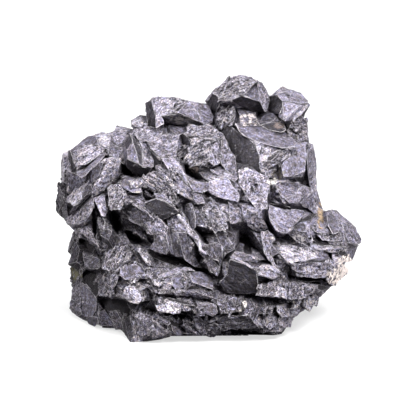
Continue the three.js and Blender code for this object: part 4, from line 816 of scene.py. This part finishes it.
def face_plane(surfaces, corners, stands):
    """A plane over the surface inside the corners: its middle, its height there and its two slopes."""
    middle = corners.mean(axis=0)
    samples = [middle] + [middle + (corner - middle) * shrink for shrink in FIT_SHRINKS for corner in corners]
    found = [(*place, height_at(surfaces, *place)) for place in samples]
    found = np.array([row for row in found if row[2] is not None])
    for _ in range(FIT_ROUNDS):
        terms = np.column_stack([np.ones(len(found)), found[:, :2] - middle])
        plane = np.linalg.lstsq(terms, found[:, 2], rcond=None)[0]
        plane[1:] = np.clip(plane[1:], -STEEPEST, STEEPEST)
        rise = found[:, 2] - terms @ plane
        close = np.abs(rise - np.median(rise)) < FIT_OUTLIER
        if close.sum() < len(corners):
            break
        found = found[close]
        rise = rise[close]
    plane[0] += np.percentile(rise, SITS_OVER) + stands
    return middle, plane


def add_slab(slabs, corners, middle, plane):
    """A slab with the given outline, its front on the plane and its root in the cluster. Returns how many
    faces it has."""
    front = plane[0] + (corners - middle) @ plane[1:]
    rooted = middle + (corners - middle) * SLAB_TAPER
    front_ring = [slabs.verts.new(on_face(*place, out)) for place, out in zip(corners, front)]
    back_ring = [slabs.verts.new(on_face(*place, out - SLAB_DEPTH)) for place, out in zip(rooted, front)]
    slabs.faces.new(front_ring)
    slabs.faces.new(back_ring[::-1])
    for index in range(len(corners)):
        beside = (index + 1) % len(corners)
        slabs.faces.new((front_ring[beside], front_ring[index], back_ring[index], back_ring[beside]))
    return 2 + len(corners)


def inside(places, corners):
    """Which places lie inside an outline."""
    held = np.zeros(len(places), bool)
    for start, end in zip(corners, np.roll(corners, -1, axis=0)):
        spans = (start[1] > places[:, 1]) != (end[1] > places[:, 1])
        rise = end[1] - start[1] if end[1] != start[1] else NO_LENGTH
        crossing = start[0] + (places[:, 1] - start[1]) * (end[0] - start[0]) / rise
        held ^= spans & (places[:, 0] < crossing)
    return held


SUNK_UNDER = 0.35
STICKS_THROUGH = 1.6
GRAZES = 0.5
OVERHANG = 2.2
OVERHANG_DROP = 4.0


def sink_under(made, covers):
    """Sinks what would stick out through the slabs to just under their fronts."""
    points = points_of(made.data)
    places = seen_from_front(points)
    for corners, middle, plane in covers:
        above = out_of_plane(places, middle, plane) + SUNK_UNDER
        sinks = (above > 0) & (above < STICKS_THROUGH) & inside(places[:, :2], corners)
        places[sinks, 2] -= above[sinks]
        points[sinks] -= above[sinks, None] * np.array(FRONT) * MM
    move_points(made.data, points)


def clear_growth(made, covers):
    """Stops small crystals from growing on what lies close under the slabs."""
    mesh = made.data
    middles = np.empty(len(mesh.polygons) * 3)
    mesh.polygons.foreach_get("center", middles)
    places = seen_from_front(middles.reshape(-1, 3))
    growth = np.empty(len(mesh.polygons))
    mesh.attributes["growth"].data.foreach_get("value", growth)
    for corners, middle, plane in covers:
        growth[(out_of_plane(places, middle, plane) < GRAZES) & inside(places[:, :2], corners)] = 0
    mesh.attributes["growth"].data.foreach_set("value", growth)


def clear_overhangs(made, surfaces):
    """Stops small crystals from growing where their ends would stand out over an edge."""
    mesh = made.data
    growth = mesh.attributes["growth"].data
    grain = mesh.attributes["grain"].data
    for polygon in mesh.polygons:
        if growth[polygon.index].value <= 0 or polygon.normal.dot(FRONT) < 0:
            continue
        right, up, front = seen_from_front(np.array(polygon.center)[None])[0]
        run = grain[polygon.index].vector
        for reach in (-OVERHANG, OVERHANG):
            level = height_at(surfaces, right + reach * run.dot(RIGHT), up + reach * run.dot(UP))
            if level is None or level < front - OVERHANG_DROP:
                growth[polygon.index].value = 0
                break


def outline_of(numbers):
    return np.array(numbers, float).reshape(-1, 2)


under = [surface_of(cluster)]
slabs = bmesh.new()
slab_growth = []
covers = []
for look, run, stands, outline in CRYSTAL_FACES:
    corners = outline_of(outline)
    turn = np.cross(corners - np.roll(corners, 1, axis=0), np.roll(corners, -1, axis=0) - corners).sum()
    corners = corners if turn > 0 else corners[::-1]
    corners = corners.mean(axis=0) + (corners - corners.mean(axis=0)) * SPREAD
    middle, plane = face_plane(under, corners, stands)
    covers.append((corners, middle, plane))
    slab_growth += [(run, *FACE_LOOKS[look])] * add_slab(slabs, corners, middle, plane)
slab_growth = np.array(slab_growth, float)
slabs.normal_update()
number_facets(slabs)
cut_finer(slabs, *SLAB_EDGES)
crystal_faces = weathered(slabs, "crystal_faces", lambda middles, normals: slab_growth, galena)
slabs.free()
clear_growth(cluster, covers)
sink_under(cluster, covers)
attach(crystal_faces, "root")

# ---------------------------------------------------------------------------------------------------------
# Blades and rims: thin ridges where two faces meet, made bright as a painted highlight, and low strips
# blackened as painted shade along narrow gaps. The ridges are the edges of crystals that grew faster than
# their middles.
# ---------------------------------------------------------------------------------------------------------

# The brightest look is partly a painted highlight along a ridge; the darkest is painted shade, a low strip
# blackened along a narrow crevice.
RIM_LOOKS = {"bright": (0.4, 0.0, 1.05), "grey": (0.4, 0.0, 0.75), "gap": (0.1, 1.0, 0.0)}

# Each ridge: its look, and in millimetres its width, how far it stands out, and right and up of each
# place it runs through.
RIDGES = (
    ("bright", 1, 0.3, (-24, 68.8, -20, 64.9, -15.2, 60.2)),
    ("bright", 2, 0.36, (33, 79.2, 29.4, 75.6, 25.6, 71.6)),
    ("grey", 0.9, 0.3, (30.4, 78.6, 25.4, 74)),
    ("gap", 0.8, 0.15, (9.6, 77.2, 10.2, 74.6, 11, 73)),
    ("grey", 0.9, 0.3, (-8.8, 76, -7, 77.2, -4.6, 77.4, -3.2, 75.6, -2.2, 73.4)),
    ("bright", 0.75, 0.24, (18, 59.6, 20.6, 62.2, 24, 64.2, 29, 64.9)),
    ("grey", 0.75, 0.3, (19.4, 57.6, 24, 60, 28.6, 63)),
    ("bright", 0.9, 0.3, (35.2, 56, 35.3, 53.4)),
    ("bright", 0.9, 0.3, (34.8, 50.6, 33.2, 49.4, 32, 48.2)),
    ("bright", 0.9, 0.3, (21.8, 38.4, 23, 37, 24.4, 36.5, 26, 36.7, 28, 38.6)),
    ("grey", 0.7, 0.2, (33.4, 37, 34.2, 34.6, 33.8, 31.8)),
    ("bright", 0.9, 0.3, (34, 31.2, 38.8, 31)),
    ("bright", 1.7, 0.36, (24, 28.4, 27.6, 26.6)),
    ("grey", 0.8, 0.2, (40.2, 28, 40.8, 24.6)),
    ("grey", 0.6, 0.16, (44.6, 36, 45.4, 32.6)),
    ("bright", 2.1, 0.42, (16.6, 25.4, 20, 25, 23.4, 23.7)),
    ("bright", 0.9, 0.3, (15.8, 23.6, 21.2, 21.5)),
    ("bright", 1.5, 0.48, (14.4, 28.5, 17, 27.4)),
    ("bright", 1.5, 0.36, (20.2, 35, 21.8, 34.2)),
    ("bright", 1.2, 0.36, (22.8, 34, 22.8, 31.6)),
    ("bright", 1.2, 0.36, (-10, 42.6, -7, 38.8, -5, 35.2, -3, 34.2, -2.5, 31, -0.4, 29.6)),
    ("grey", 0.7, 0.2, (6.2, 35.2, 8, 32.2)),
    ("bright", 1, 0.3, (7, 28.9, 12, 26.6, 15.6, 24.5)),
    ("grey", 1, 0.3, (4.4, 32.4, 5.2, 28.4)),
    ("bright", 0.75, 0.3, (3.6, 20.8, 4.4, 18.6, 5.6, 17)),
    ("bright", 1.5, 0.36, (-15.4, 35.4, -13.6, 33.8)),
    ("bright", 1.4, 0.3, (-10, 34, -8.6, 32.6)),
    ("bright", 1.2, 0.3, (-22.8, 31.6, -21, 28.8, -19.4, 26.2)),
    ("grey", 1, 0.3, (-18, 27.6, -16.2, 27.2, -15.4, 25.4)),
    ("bright", 0.9, 0.24, (-28.8, 23.4, -30.2, 20.6, -31.4, 17.8)),
    ("bright", 0.9, 0.3, (-24.6, 11.8, -22.8, 8.4)),
    ("bright", 1, 0.3, (-25, 8.2, -23.2, 5.6)),
    ("bright", 0.75, 0.24, (-7, 14.6, -3.6, 13, -2, 13.9, 1, 13.8)),
    ("bright", 1.4, 0.3, (-43, 56.2, -41.4, 57)),
    ("bright", 1.5, 0.36, (-40.9, 53.6, -39.6, 56)),
    ("bright", 1, 0.3, (-32.4, 68, -33.4, 64.6)),
    ("bright", 1.4, 0.3, (-38.2, 46.8, -38, 44.6)),
    ("bright", 1.2, 0.3, (3.4, 44, 4.2, 41.8)),
    ("grey", 0.75, 0.24, (-20.8, 46.3, -16.8, 47.7)),
    ("bright", 0.9, 0.3, (-12.4, 48.6, -12, 46.2, -10.4, 45.6)),
    ("grey", 1, 0.3, (-9.6, 42.4, -8, 40.4, -5, 36.6)),
    ("bright", 0.9, 0.24, (36, 46, 36.4, 42.6)),
    ("gap", 0.9, 0.1, (-9.2, 55.4, -7.4, 52.8, -5, 49.8)),
    ("gap", 0.7, 0.1, (4.3, 63.2, 4.5, 59.8)),
    ("gap", 0.7, 0.1, (14.4, 52.2, 15.4, 49.6)),
    ("gap", 0.8, 0.1, (4.6, 43.8, 6.8, 42.4, 7.2, 37.4)),
    ("gap", 0.6, 0.1, (1, 49, 6, 46)),
    ("gap", 0.6, 0.1, (18.6, 60.2, 20.6, 61.4, 25, 63.5)),
    ("gap", 0.9, 0.1, (-27.8, 42, -23, 40.4, -20.4, 38.6, -19.2, 36.6)),
    ("gap", 0.5, 0.1, (30.2, 46.3, 32, 44.9)),
    ("gap", 0.7, 0.1, (30.4, 47, 31.2, 48.6, 32, 48.4)),
    ("bright", 0.9, 0.3, (-17.4, 10.2, -15.4, 8.6, -12.6, 7)),
    ("bright", 0.9, 0.3, (22.2, 12.8, 23.4, 12.2, 25, 13.2)),
    ("bright", 0.9, 0.3, (2.4, 7.2, 4.2, 5.4)),
    ("bright", 0.9, 0.3, (-6.8, 7, -5.4, 5, -3.6, 3.4)),
    ("bright", 0.8, 0.2, (-41.8, 12.6, -41.2, 14)),
    ("gap", 0.7, 0.1, (-43.6, 44.9, -41, 47.3, -38.8, 49.4)),
    ("gap", 0.6, 0.1, (-38.4, 52.6, -36.2, 54.8)),
)
RIDGE_SPACING = 0.7
# How far aside each corner of a ridge's section lies, in its widths, how far down in millimetres, and
# what share of its height it has.
RIDGE_SECTION = ((-0.5, -0.7, 0), (-0.4, 0, 0), (-0.05, 0, 1), (0.4, 0, 0), (0.5, -0.7, 0))
RIDGE_END = 0.3
RIDGE_UNEVEN = 0.2
RIDGE_SEED = 23
LEVEL_REACH = 2


def ridge_path(surfaces, places):
    """Places spaced evenly along a ridge, and the level of the surface at each."""
    path = []
    for start, end in zip(places, places[1:]):
        pieces = max(1, round(np.linalg.norm(end - start) / RIDGE_SPACING))
        path += [start + (end - start) * step / pieces for step in range(pieces)]
    path.append(end)
    levels = [height_at(surfaces, *place) for place in path]
    known = [level for level in levels if level is not None]
    levels = [np.median(known) if level is None else level for level in levels]
    smooth = []
    for index in range(len(levels)):
        smooth.append(np.median(levels[max(0, index - LEVEL_REACH):index + LEVEL_REACH + 1]))
    return path, smooth


def add_ridge(ridges, surfaces, places, width, stands, chance):
    """A low roof that follows the surface from place to place. Returns which way each of its faces runs."""
    path, levels = ridge_path(surfaces, places)
    rings = []
    runs = []
    for index, (place, level) in enumerate(zip(path, levels)):
        along = unit((path[min(index + 1, len(path) - 1)] - path[max(index - 1, 0)])[None])[0]
        across = np.array([-along[1], along[0]])
        last = index in (0, len(path) - 1)
        wide = width * (RIDGE_END if last else 1 + chance.uniform(-RIDGE_UNEVEN, RIDGE_UNEVEN))
        high = stands * (RIDGE_END if last else 1 + chance.uniform(-RIDGE_UNEVEN, RIDGE_UNEVEN))
        ring = []
        for aside, down, rise in RIDGE_SECTION:
            corner = on_face(*(place + across * aside * wide), level + down + high * rise)
            ring.append(ridges.verts.new(corner))
        if rings:
            for side in range(len(ring)):
                beside = (side + 1) % len(ring)
                ridges.faces.new((rings[-1][side], rings[-1][beside], ring[beside], ring[side]))
                runs.append(math.degrees(math.atan2(along[1], along[0])))
        rings.append(ring)
    ridges.faces.new(rings[0][::-1])
    ridges.faces.new(rings[-1])
    return runs + [runs[0], runs[-1]]


under.append(surface_of(crystal_faces))
for made in (cluster, crystal_faces):
    clear_overhangs(made, under)
ridges = bmesh.new()
ridge_growth = []
chance = np.random.default_rng(RIDGE_SEED)
for look, width, stands, places in RIDGES:
    for run in add_ridge(ridges, under, outline_of(places), width, stands, chance):
        ridge_growth.append((run, *RIM_LOOKS[look]))
ridge_growth = np.array(ridge_growth, float)
bmesh.ops.recalc_face_normals(ridges, faces=ridges.faces)
number_facets(ridges)
bmesh.ops.triangulate(ridges, faces=ridges.faces)
rims = weathered(ridges, "rims_and_gaps", lambda middles, normals: ridge_growth, galena)
ridges.free()
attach(rims, "root")

# ---------------------------------------------------------------------------------------------------------
# Growth steps: the small crystals that crowd the rough faces of the big ones. Lumps and blocks stand among
# the big crystals, long ribs follow the striations and chips sit everywhere. They are the same galena.
# ---------------------------------------------------------------------------------------------------------

SHAPE_COUNT = 9
SHAPE_SEED = 19
BODY_RINGS = ((-0.5, 0.5), (0.05, 0.46))
CORNER_SHIFT = 0.12
RIDGE_REACH = (0.12, 0.42)
RIDGE_STRAYS = 0.3
RIDGE_RISE = 0.1
RIDGE_HEIGHT = (0.35, 0.55)


def small_crystal(name, chance):
    """A crystal one unit long, wide and high: a roof with a sharp ridge and slanting ends."""
    corners = [(x, y, z) for z, side in BODY_RINGS for x in (-side, side) for y in (-side, side)]
    corners = np.array(corners) + chance.uniform(-CORNER_SHIFT, CORNER_SHIFT, (len(corners), 3))
    stray = chance.uniform(-RIDGE_STRAYS, RIDGE_STRAYS)
    back, front = chance.uniform(*RIDGE_REACH, 2)
    ridge = ((-back, stray, chance.uniform(*RIDGE_HEIGHT)),
             (front, stray + RIDGE_RISE, chance.uniform(*RIDGE_HEIGHT)))
    hull = bmesh.new()
    for corner in (*corners, *ridge):
        hull.verts.new(corner)
    bmesh.ops.convex_hull(hull, input=hull.verts)
    mesh = bpy.data.meshes.new(name)
    hull.to_mesh(mesh)
    hull.free()
    return bpy.data.objects.new(name, mesh)


GROWTH_INPUTS = {"Geometry": "Geometry", "Shapes": "Collection", "Density": "Float", "Least Size": "Vector",
                 "Most Size": "Vector", "Tilt": "Vector", "Sunk": "Float", "Seed": "Int",
                 "Material": "Material", "Least Growth": "Float"}


def growth_tree():
    """Geometry nodes that grow small crystals out of a surface, lined up with its striations."""
    tree = bpy.data.node_groups.new("growth_steps", "GeometryNodeTree")
    for name, kind in GROWTH_INPUTS.items():
        tree.interface.new_socket(name, in_out="INPUT", socket_type="NodeSocket" + kind)
    tree.interface.new_socket("Geometry", in_out="OUTPUT", socket_type="NodeSocketGeometry")
    nodes = Nodes(tree)
    given = nodes.add("NodeGroupInput", out=None).outputs

    def stored(label, kind):
        return nodes.add("GeometryNodeInputNamedAttribute", {"Name": label}, data_type=kind)

    def between(least, most):
        return nodes.add("FunctionNodeRandomValue", {"Min": least, "Max": most, "Seed": given["Seed"]},
                         data_type="FLOAT_VECTOR")

    share = nodes.add("ShaderNodeMapRange", {"Value": stored("growth", "FLOAT"),
                                             "From Min": given["Least Growth"]})
    spread = nodes.add("GeometryNodeDistributePointsOnFaces", {
        "Mesh": given["Geometry"], "Density": nodes.math("MULTIPLY", share, given["Density"]),
        "Seed": given["Seed"]}, out=None, distribute_method="RANDOM").outputs
    standing = nodes.add("FunctionNodeAlignRotationToVector", {"Vector": spread["Normal"]}, axis="Z")
    turned = nodes.add("FunctionNodeAlignRotationToVector", {
        "Rotation": standing, "Vector": stored("grain", "FLOAT_VECTOR")}, axis="X", pivot_axis="Z")
    tilt = between(nodes.scaled(given["Tilt"], -1.0), given["Tilt"])
    tilted = nodes.add("FunctionNodeEulerToRotation", {"Euler": tilt})
    rotation = nodes.add("FunctionNodeRotateRotation", {"Rotation": turned, "Rotate By": tilted},
                         rotation_space="LOCAL")
    shape = nodes.add("GeometryNodeCollectionInfo", {
        "Collection": given["Shapes"], "Separate Children": True, "Reset Children": True})
    grown = nodes.add("GeometryNodeInstanceOnPoints", {
        "Points": spread["Points"], "Instance": shape, "Pick Instance": True, "Rotation": rotation,
        "Scale": between(given["Least Size"], given["Most Size"])})
    down = nodes.add("ShaderNodeCombineXYZ", {"Z": given["Sunk"]})
    rooted = nodes.add("GeometryNodeTranslateInstances", {"Instances": grown, "Translation": down})
    tone = nodes.add("FunctionNodeRandomValue", {"Seed": given["Seed"]}, out=1, data_type="FLOAT")
    toned = nodes.add("GeometryNodeStoreNamedAttribute", {"Geometry": rooted, "Name": "tone", "Value": tone},
                      data_type="FLOAT", domain="INSTANCE")
    real = nodes.add("GeometryNodeRealizeInstances", {"Geometry": toned})
    coated = nodes.add("GeometryNodeSetMaterial", {"Geometry": real, "Material": given["Material"]})
    nodes.add("NodeGroupOutput", {"Geometry": coated}, out=None)
    return tree


chance = np.random.default_rng(SHAPE_SEED)
shapes = bpy.data.collections.new("small_crystal_shapes")
for index in range(SHAPE_COUNT):
    shapes.objects.link(small_crystal(f"small_crystal_{index}", chance))
growth = growth_tree()

# Name, crystals per square millimetre on the roughest face, the least growth they need, least and most
# length, width and height in millimetres, the most they tilt about their length, their width and the
# face's normal in degrees, how far their middles sink (negative) in millimetres, and a seed.
GROWTH_STEPS = (
    ("lumps", 0.016, 0.35, (5.0, 4.0, 4.0), (9.5, 6.5, 5.5), (28, 22, 40), -1.5, 5),
    ("blocks", 0.032, 0.5, (2.6, 1.8, 2.2), (6.5, 4.0, 3.4), (16, 8, 30), -0.6, 3),
    ("ribs", 0.13, 0.4, (2.0, 0.5, 0.8), (5.5, 1.1, 1.3), (12, 3, 8), -0.22, 8),
    ("chips", 0.24, 0.05, (0.6, 0.5, 0.6), (1.8, 1.4, 1.2), (12, 8, 60), -0.25, 14),
)


def grown_on(surface, name, material, density, least_growth, least, most, tilt, sunk, seed):
    """One kind of small crystal, grown on the surface and made a mesh of its own."""
    piece = add_object(name, surface.data.copy())
    modifier = piece.modifiers.new("growth", "NODES")
    modifier.node_group = growth
    values = {"Shapes": shapes, "Density": density / MM**2, "Least Size": [side * MM for side in least],
              "Most Size": [side * MM for side in most], "Tilt": [math.radians(angle) for angle in tilt],
              "Sunk": sunk * MM, "Seed": seed, "Material": material, "Least Growth": least_growth}
    for item in growth.interface.items_tree:
        if item.name in values:
            modifier[item.identifier] = values[item.name]
    bpy.context.view_layer.update()
    ready = bpy.context.evaluated_depsgraph_get()
    result = bpy.data.meshes.new_from_object(piece.evaluated_get(ready), depsgraph=ready)
    piece.modifiers.clear()
    piece.data = result
    result.name = name
    move_points(result, points_of(result))
    return piece


for surface, label, seed_shift, kinds in ((cluster, "cluster", 0, GROWTH_STEPS),
                                          (crystal_faces, "faces", 40, GROWTH_STEPS[2:])):
    for name, *numbers, seed in kinds:
        piece = grown_on(surface, f"{name}_on_{label}", galena, *numbers, seed + seed_shift)
        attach(piece, "root")

# ---------------------------------------------------------------------------------------------------------
# Carbonate and stain: thin crusts in the hollows, cream, tan or pink where carbonate grew and olive where
# iron water dried. They are films on the galena with small crumbs on them.
# ---------------------------------------------------------------------------------------------------------

# Each crust: right and up of its middle, its half width and half height in millimetres, its colour and
# how much it covers.
CRUSTS = (
    (37.2, 42.0, 0.9, 3.6, (0.44, 0.32, 0.21), 0.75),
    (21.0, 53.4, 1.7, 1.1, (0.86, 0.81, 0.77), 0.9),
    (23.0, 55.8, 1.7, 2.6, (0.26, 0.23, 0.21), 0.6),
    (45.0, 24.5, 2.6, 4.0, (0.98, 0.86, 0.82), 0.85),
    (41.8, 21.5, 2.2, 3.0, (0.95, 0.84, 0.79), 0.6),
    (-4.5, 57.2, 1.8, 0.9, (0.50, 0.40, 0.36), 0.8),
    (12.4, 11.2, 1.6, 2.4, (0.90, 0.83, 0.79), 0.85),
    (17.0, 11.6, 3.0, 1.1, (0.11, 0.10, 0.095), 0.45),
    (-44.0, 24.0, 2.2, 3.8, (0.13, 0.12, 0.07), 0.6),
    (-23.0, 49.7, 0.6, 0.5, (0.50, 0.46, 0.40), 0.9),
    (13.2, 74.0, 2.6, 2.4, (0.62, 0.55, 0.55), 0.4),
    (23.6, 72.0, 2.0, 1.0, (0.17, 0.13, 0.125), 0.7),
    (-8.0, 74.0, 4.0, 1.4, (0.11, 0.095, 0.10), 0.4),
    (28.5, 34.5, 3.0, 1.2, (0.36, 0.33, 0.34), 0.4),
)
CRUST_FACES = 0.1
FRONTMOST = 0.6
FILM_RAGGED = 0.35
FILM_CELL = 0.9
FILM_SEED = 71
FILM_RISE = 0.1 * MM
FILM_THICKNESS = 0.25 * MM


def crusted(surface, surfaces):
    """The faces of a surface that a crust covers, each with the crust's colour."""
    chosen = []
    for polygon in surface.data.polygons:
        if polygon.normal.dot(FRONT) < CRUST_FACES:
            continue
        right, up, front = seen_from_front(np.array(polygon.center)[None])[0]
        for middle_right, middle_up, half_width, half_height, tint, share in CRUSTS:
            away = math.hypot((right - middle_right) / half_width, (up - middle_up) / half_height)
            if away > 1 + FILM_RAGGED:
                continue
            cell = whole(np.array([[right, up, front]]) / FILM_CELL)
            strays = 2 * random_shares(cell, FILM_SEED)[0] - 1
            covered = random_shares(cell, FILM_SEED + 1)[0] < share
            if covered and away + FILM_RAGGED * strays < 1:
                if front > height_at(surfaces, right, up) - FRONTMOST:
                    chosen.append((polygon.index, tint))
                break
    return chosen


def film_on(surfaces, covered):
    """A sheet lying just over the crusted faces."""
    film = bmesh.new()
    tints = []
    for surface in covered:
        mesh = surface.data
        placed = {}
        for index, tint in crusted(surface, surfaces):
            for vertex in mesh.polygons[index].vertices:
                if vertex not in placed:
                    lifted = mesh.vertices[vertex].co + mesh.vertices[vertex].normal * FILM_RISE
                    placed[vertex] = film.verts.new(lifted)
            corners = [placed[vertex] for vertex in mesh.polygons[index].vertices]
            if film.faces.get(corners) is None:
                film.faces.new(corners)
                tints.append(tint)
    mesh = bpy.data.meshes.new("carbonate_film")
    film.to_mesh(mesh)
    film.free()
    keep_on_faces(mesh, "tint", np.array(tints, float))
    keep_on_faces(mesh, "growth", np.ones(len(tints)))
    keep_on_faces(mesh, "grain", np.tile(np.array(RIGHT), (len(tints), 1)))
    return add_object("carbonate_film", mesh)


def carbonate_finish(name):
    """Chalky mineral crust, its colour uneven, with painted shade deep in the hollows."""
    material, nodes = new_material(name)
    grains = nodes.noise(nodes.place_in_mm(), scale=1.8, detail=4.0, roughness=0.75)
    uneven = nodes.scaled(nodes.read("tint", out="Color"), nodes.fade(grains, 0.3, 0.7, 0.45, 1.25))
    # Painted shade deep in the hollows.
    hollow_shade = nodes.add("ShaderNodeAmbientOcclusion", {"Distance": 3 * MM}, out="AO", samples=8)
    bump = nodes.add("ShaderNodeBump", {"Height": grains, "Strength": 0.8, "Distance": 0.4 * MM})
    surface = nodes.add("ShaderNodeBsdfPrincipled", {"Base Color": nodes.scaled(uneven, hollow_shade),
                                                     "Roughness": 0.75, "Normal": bump})
    nodes.add("ShaderNodeOutputMaterial", {"Surface": surface}, out=None)
    return material


carbonate = carbonate_finish("carbonate")
film = film_on(under, (cluster, crystal_faces))
film.data.materials.append(carbonate)
# Its underside and rims, so that it is a closed crust sunk into the galena.
thickness = film.modifiers.new("thickness", "SOLIDIFY")
thickness.thickness = FILM_THICKNESS
thickness.offset = -1
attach(film, "root")
# The crumbs' numbers come in the same order as those of the growth steps.
crumbs = grown_on(film, "carbonate_crumbs", carbonate, 0.45, 0.0, (0.4, 0.4, 0.25), (1.1, 0.9, 0.45),
                  (18, 18, 90), -0.05, 61)
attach(crumbs, "root")

# ---------------------------------------------------------------------------------------------------------
# The floor, the light and the camera: a plain pale floor under soft studio light, seen from a little above.
# ---------------------------------------------------------------------------------------------------------

FLOOR_HALF = 3.0
CORNERS = ((-1, -1), (1, -1), (1, 1), (-1, 1))
floor_mesh = bpy.data.meshes.new("floor")
floor_mesh.from_pydata([(x * FLOOR_HALF, y * FLOOR_HALF, 0) for x, y in CORNERS], [], [(0, 1, 2, 3)])
floor = add_object("floor", floor_mesh)
pale, nodes = new_material("pale_floor")
seen = nodes.add("ShaderNodeLightPath", out="Is Camera Ray")
tone = nodes.mix(seen, colour(0.17, 0.17, 0.175), colour(0.93, 0.93, 0.93))
matt = nodes.add("ShaderNodeBsdfDiffuse", {"Color": tone})
lit = nodes.add("ShaderNodeEmission", {"Color": colour(1, 1, 1), "Strength": 1.0})
bright = nodes.add("ShaderNodeMixShader", {0: nodes.math("MULTIPLY", seen, 0.6), 1: matt, 2: lit})
nodes.add("ShaderNodeOutputMaterial", {"Surface": bright}, out=None)
floor_mesh.materials.append(pale)

world = bpy.data.worlds.new("studio")
bpy.context.scene.world = world
world.use_nodes = True
nodes = Nodes(world.node_tree)
seen = nodes.add("ShaderNodeLightPath", out="Is Camera Ray")
height = nodes.add("ShaderNodeSeparateXYZ", {0: nodes.add("ShaderNodeTexCoord", out="Generated")}, out="Z")
overhead = nodes.fade(height, -0.1, 0.9, 0.02, 0.25)
strength = nodes.add("ShaderNodeMix", {"Factor": seen, "A": overhead, "B": 1.0}, data_type="FLOAT")
sky = nodes.add("ShaderNodeBackground", {"Color": colour(1, 1, 1), "Strength": strength})
nodes.add("ShaderNodeOutputWorld", {"Surface": sky}, out=None)

CLUSTER_MIDDLE = Vector((0, 0, 40 * MM))
# Name, place, width, height and watts of each softbox.
SOFTBOXES = (
    ("key", (0.35, -0.45, 0.75), 0.35, 0.35, 14),
    ("left", (-0.7, -0.25, 0.55), 0.35, 0.4, 8),
    ("right_edge", (0.8, -0.35, 0.2), 0.25, 0.4, 4.5),
    ("top", (0.0, 0.15, 0.9), 0.6, 0.5, 7),
)
for name, place, width, height, watts in SOFTBOXES:
    lamp = bpy.data.lights.new(name, "AREA")
    lamp.shape = "RECTANGLE"
    lamp.size = width
    lamp.size_y = height
    lamp.energy = watts
    holder = add_object(name, lamp)
    holder.location = place
    holder.rotation_euler = (CLUSTER_MIDDLE - Vector(place)).to_track_quat("-Z", "Y").to_euler()

VIEW_HEIGHT = 44.67
FRAME_WIDTH = 138.67 * MM
CAMERA_AWAY = 1.2
SENSOR = 36.0
camera_data = bpy.data.cameras.new("camera")
camera_data.sensor_width = SENSOR
camera_data.lens = SENSOR * CAMERA_AWAY / FRAME_WIDTH
camera = add_object("camera", camera_data)
camera.location = on_face(0, VIEW_HEIGHT) + FRONT * CAMERA_AWAY
camera.rotation_euler = (-FRONT).to_track_quat("-Z", "Y").to_euler()
bpy.context.scene.camera = camera
bpy.context.scene.view_settings.view_transform = "Standard"
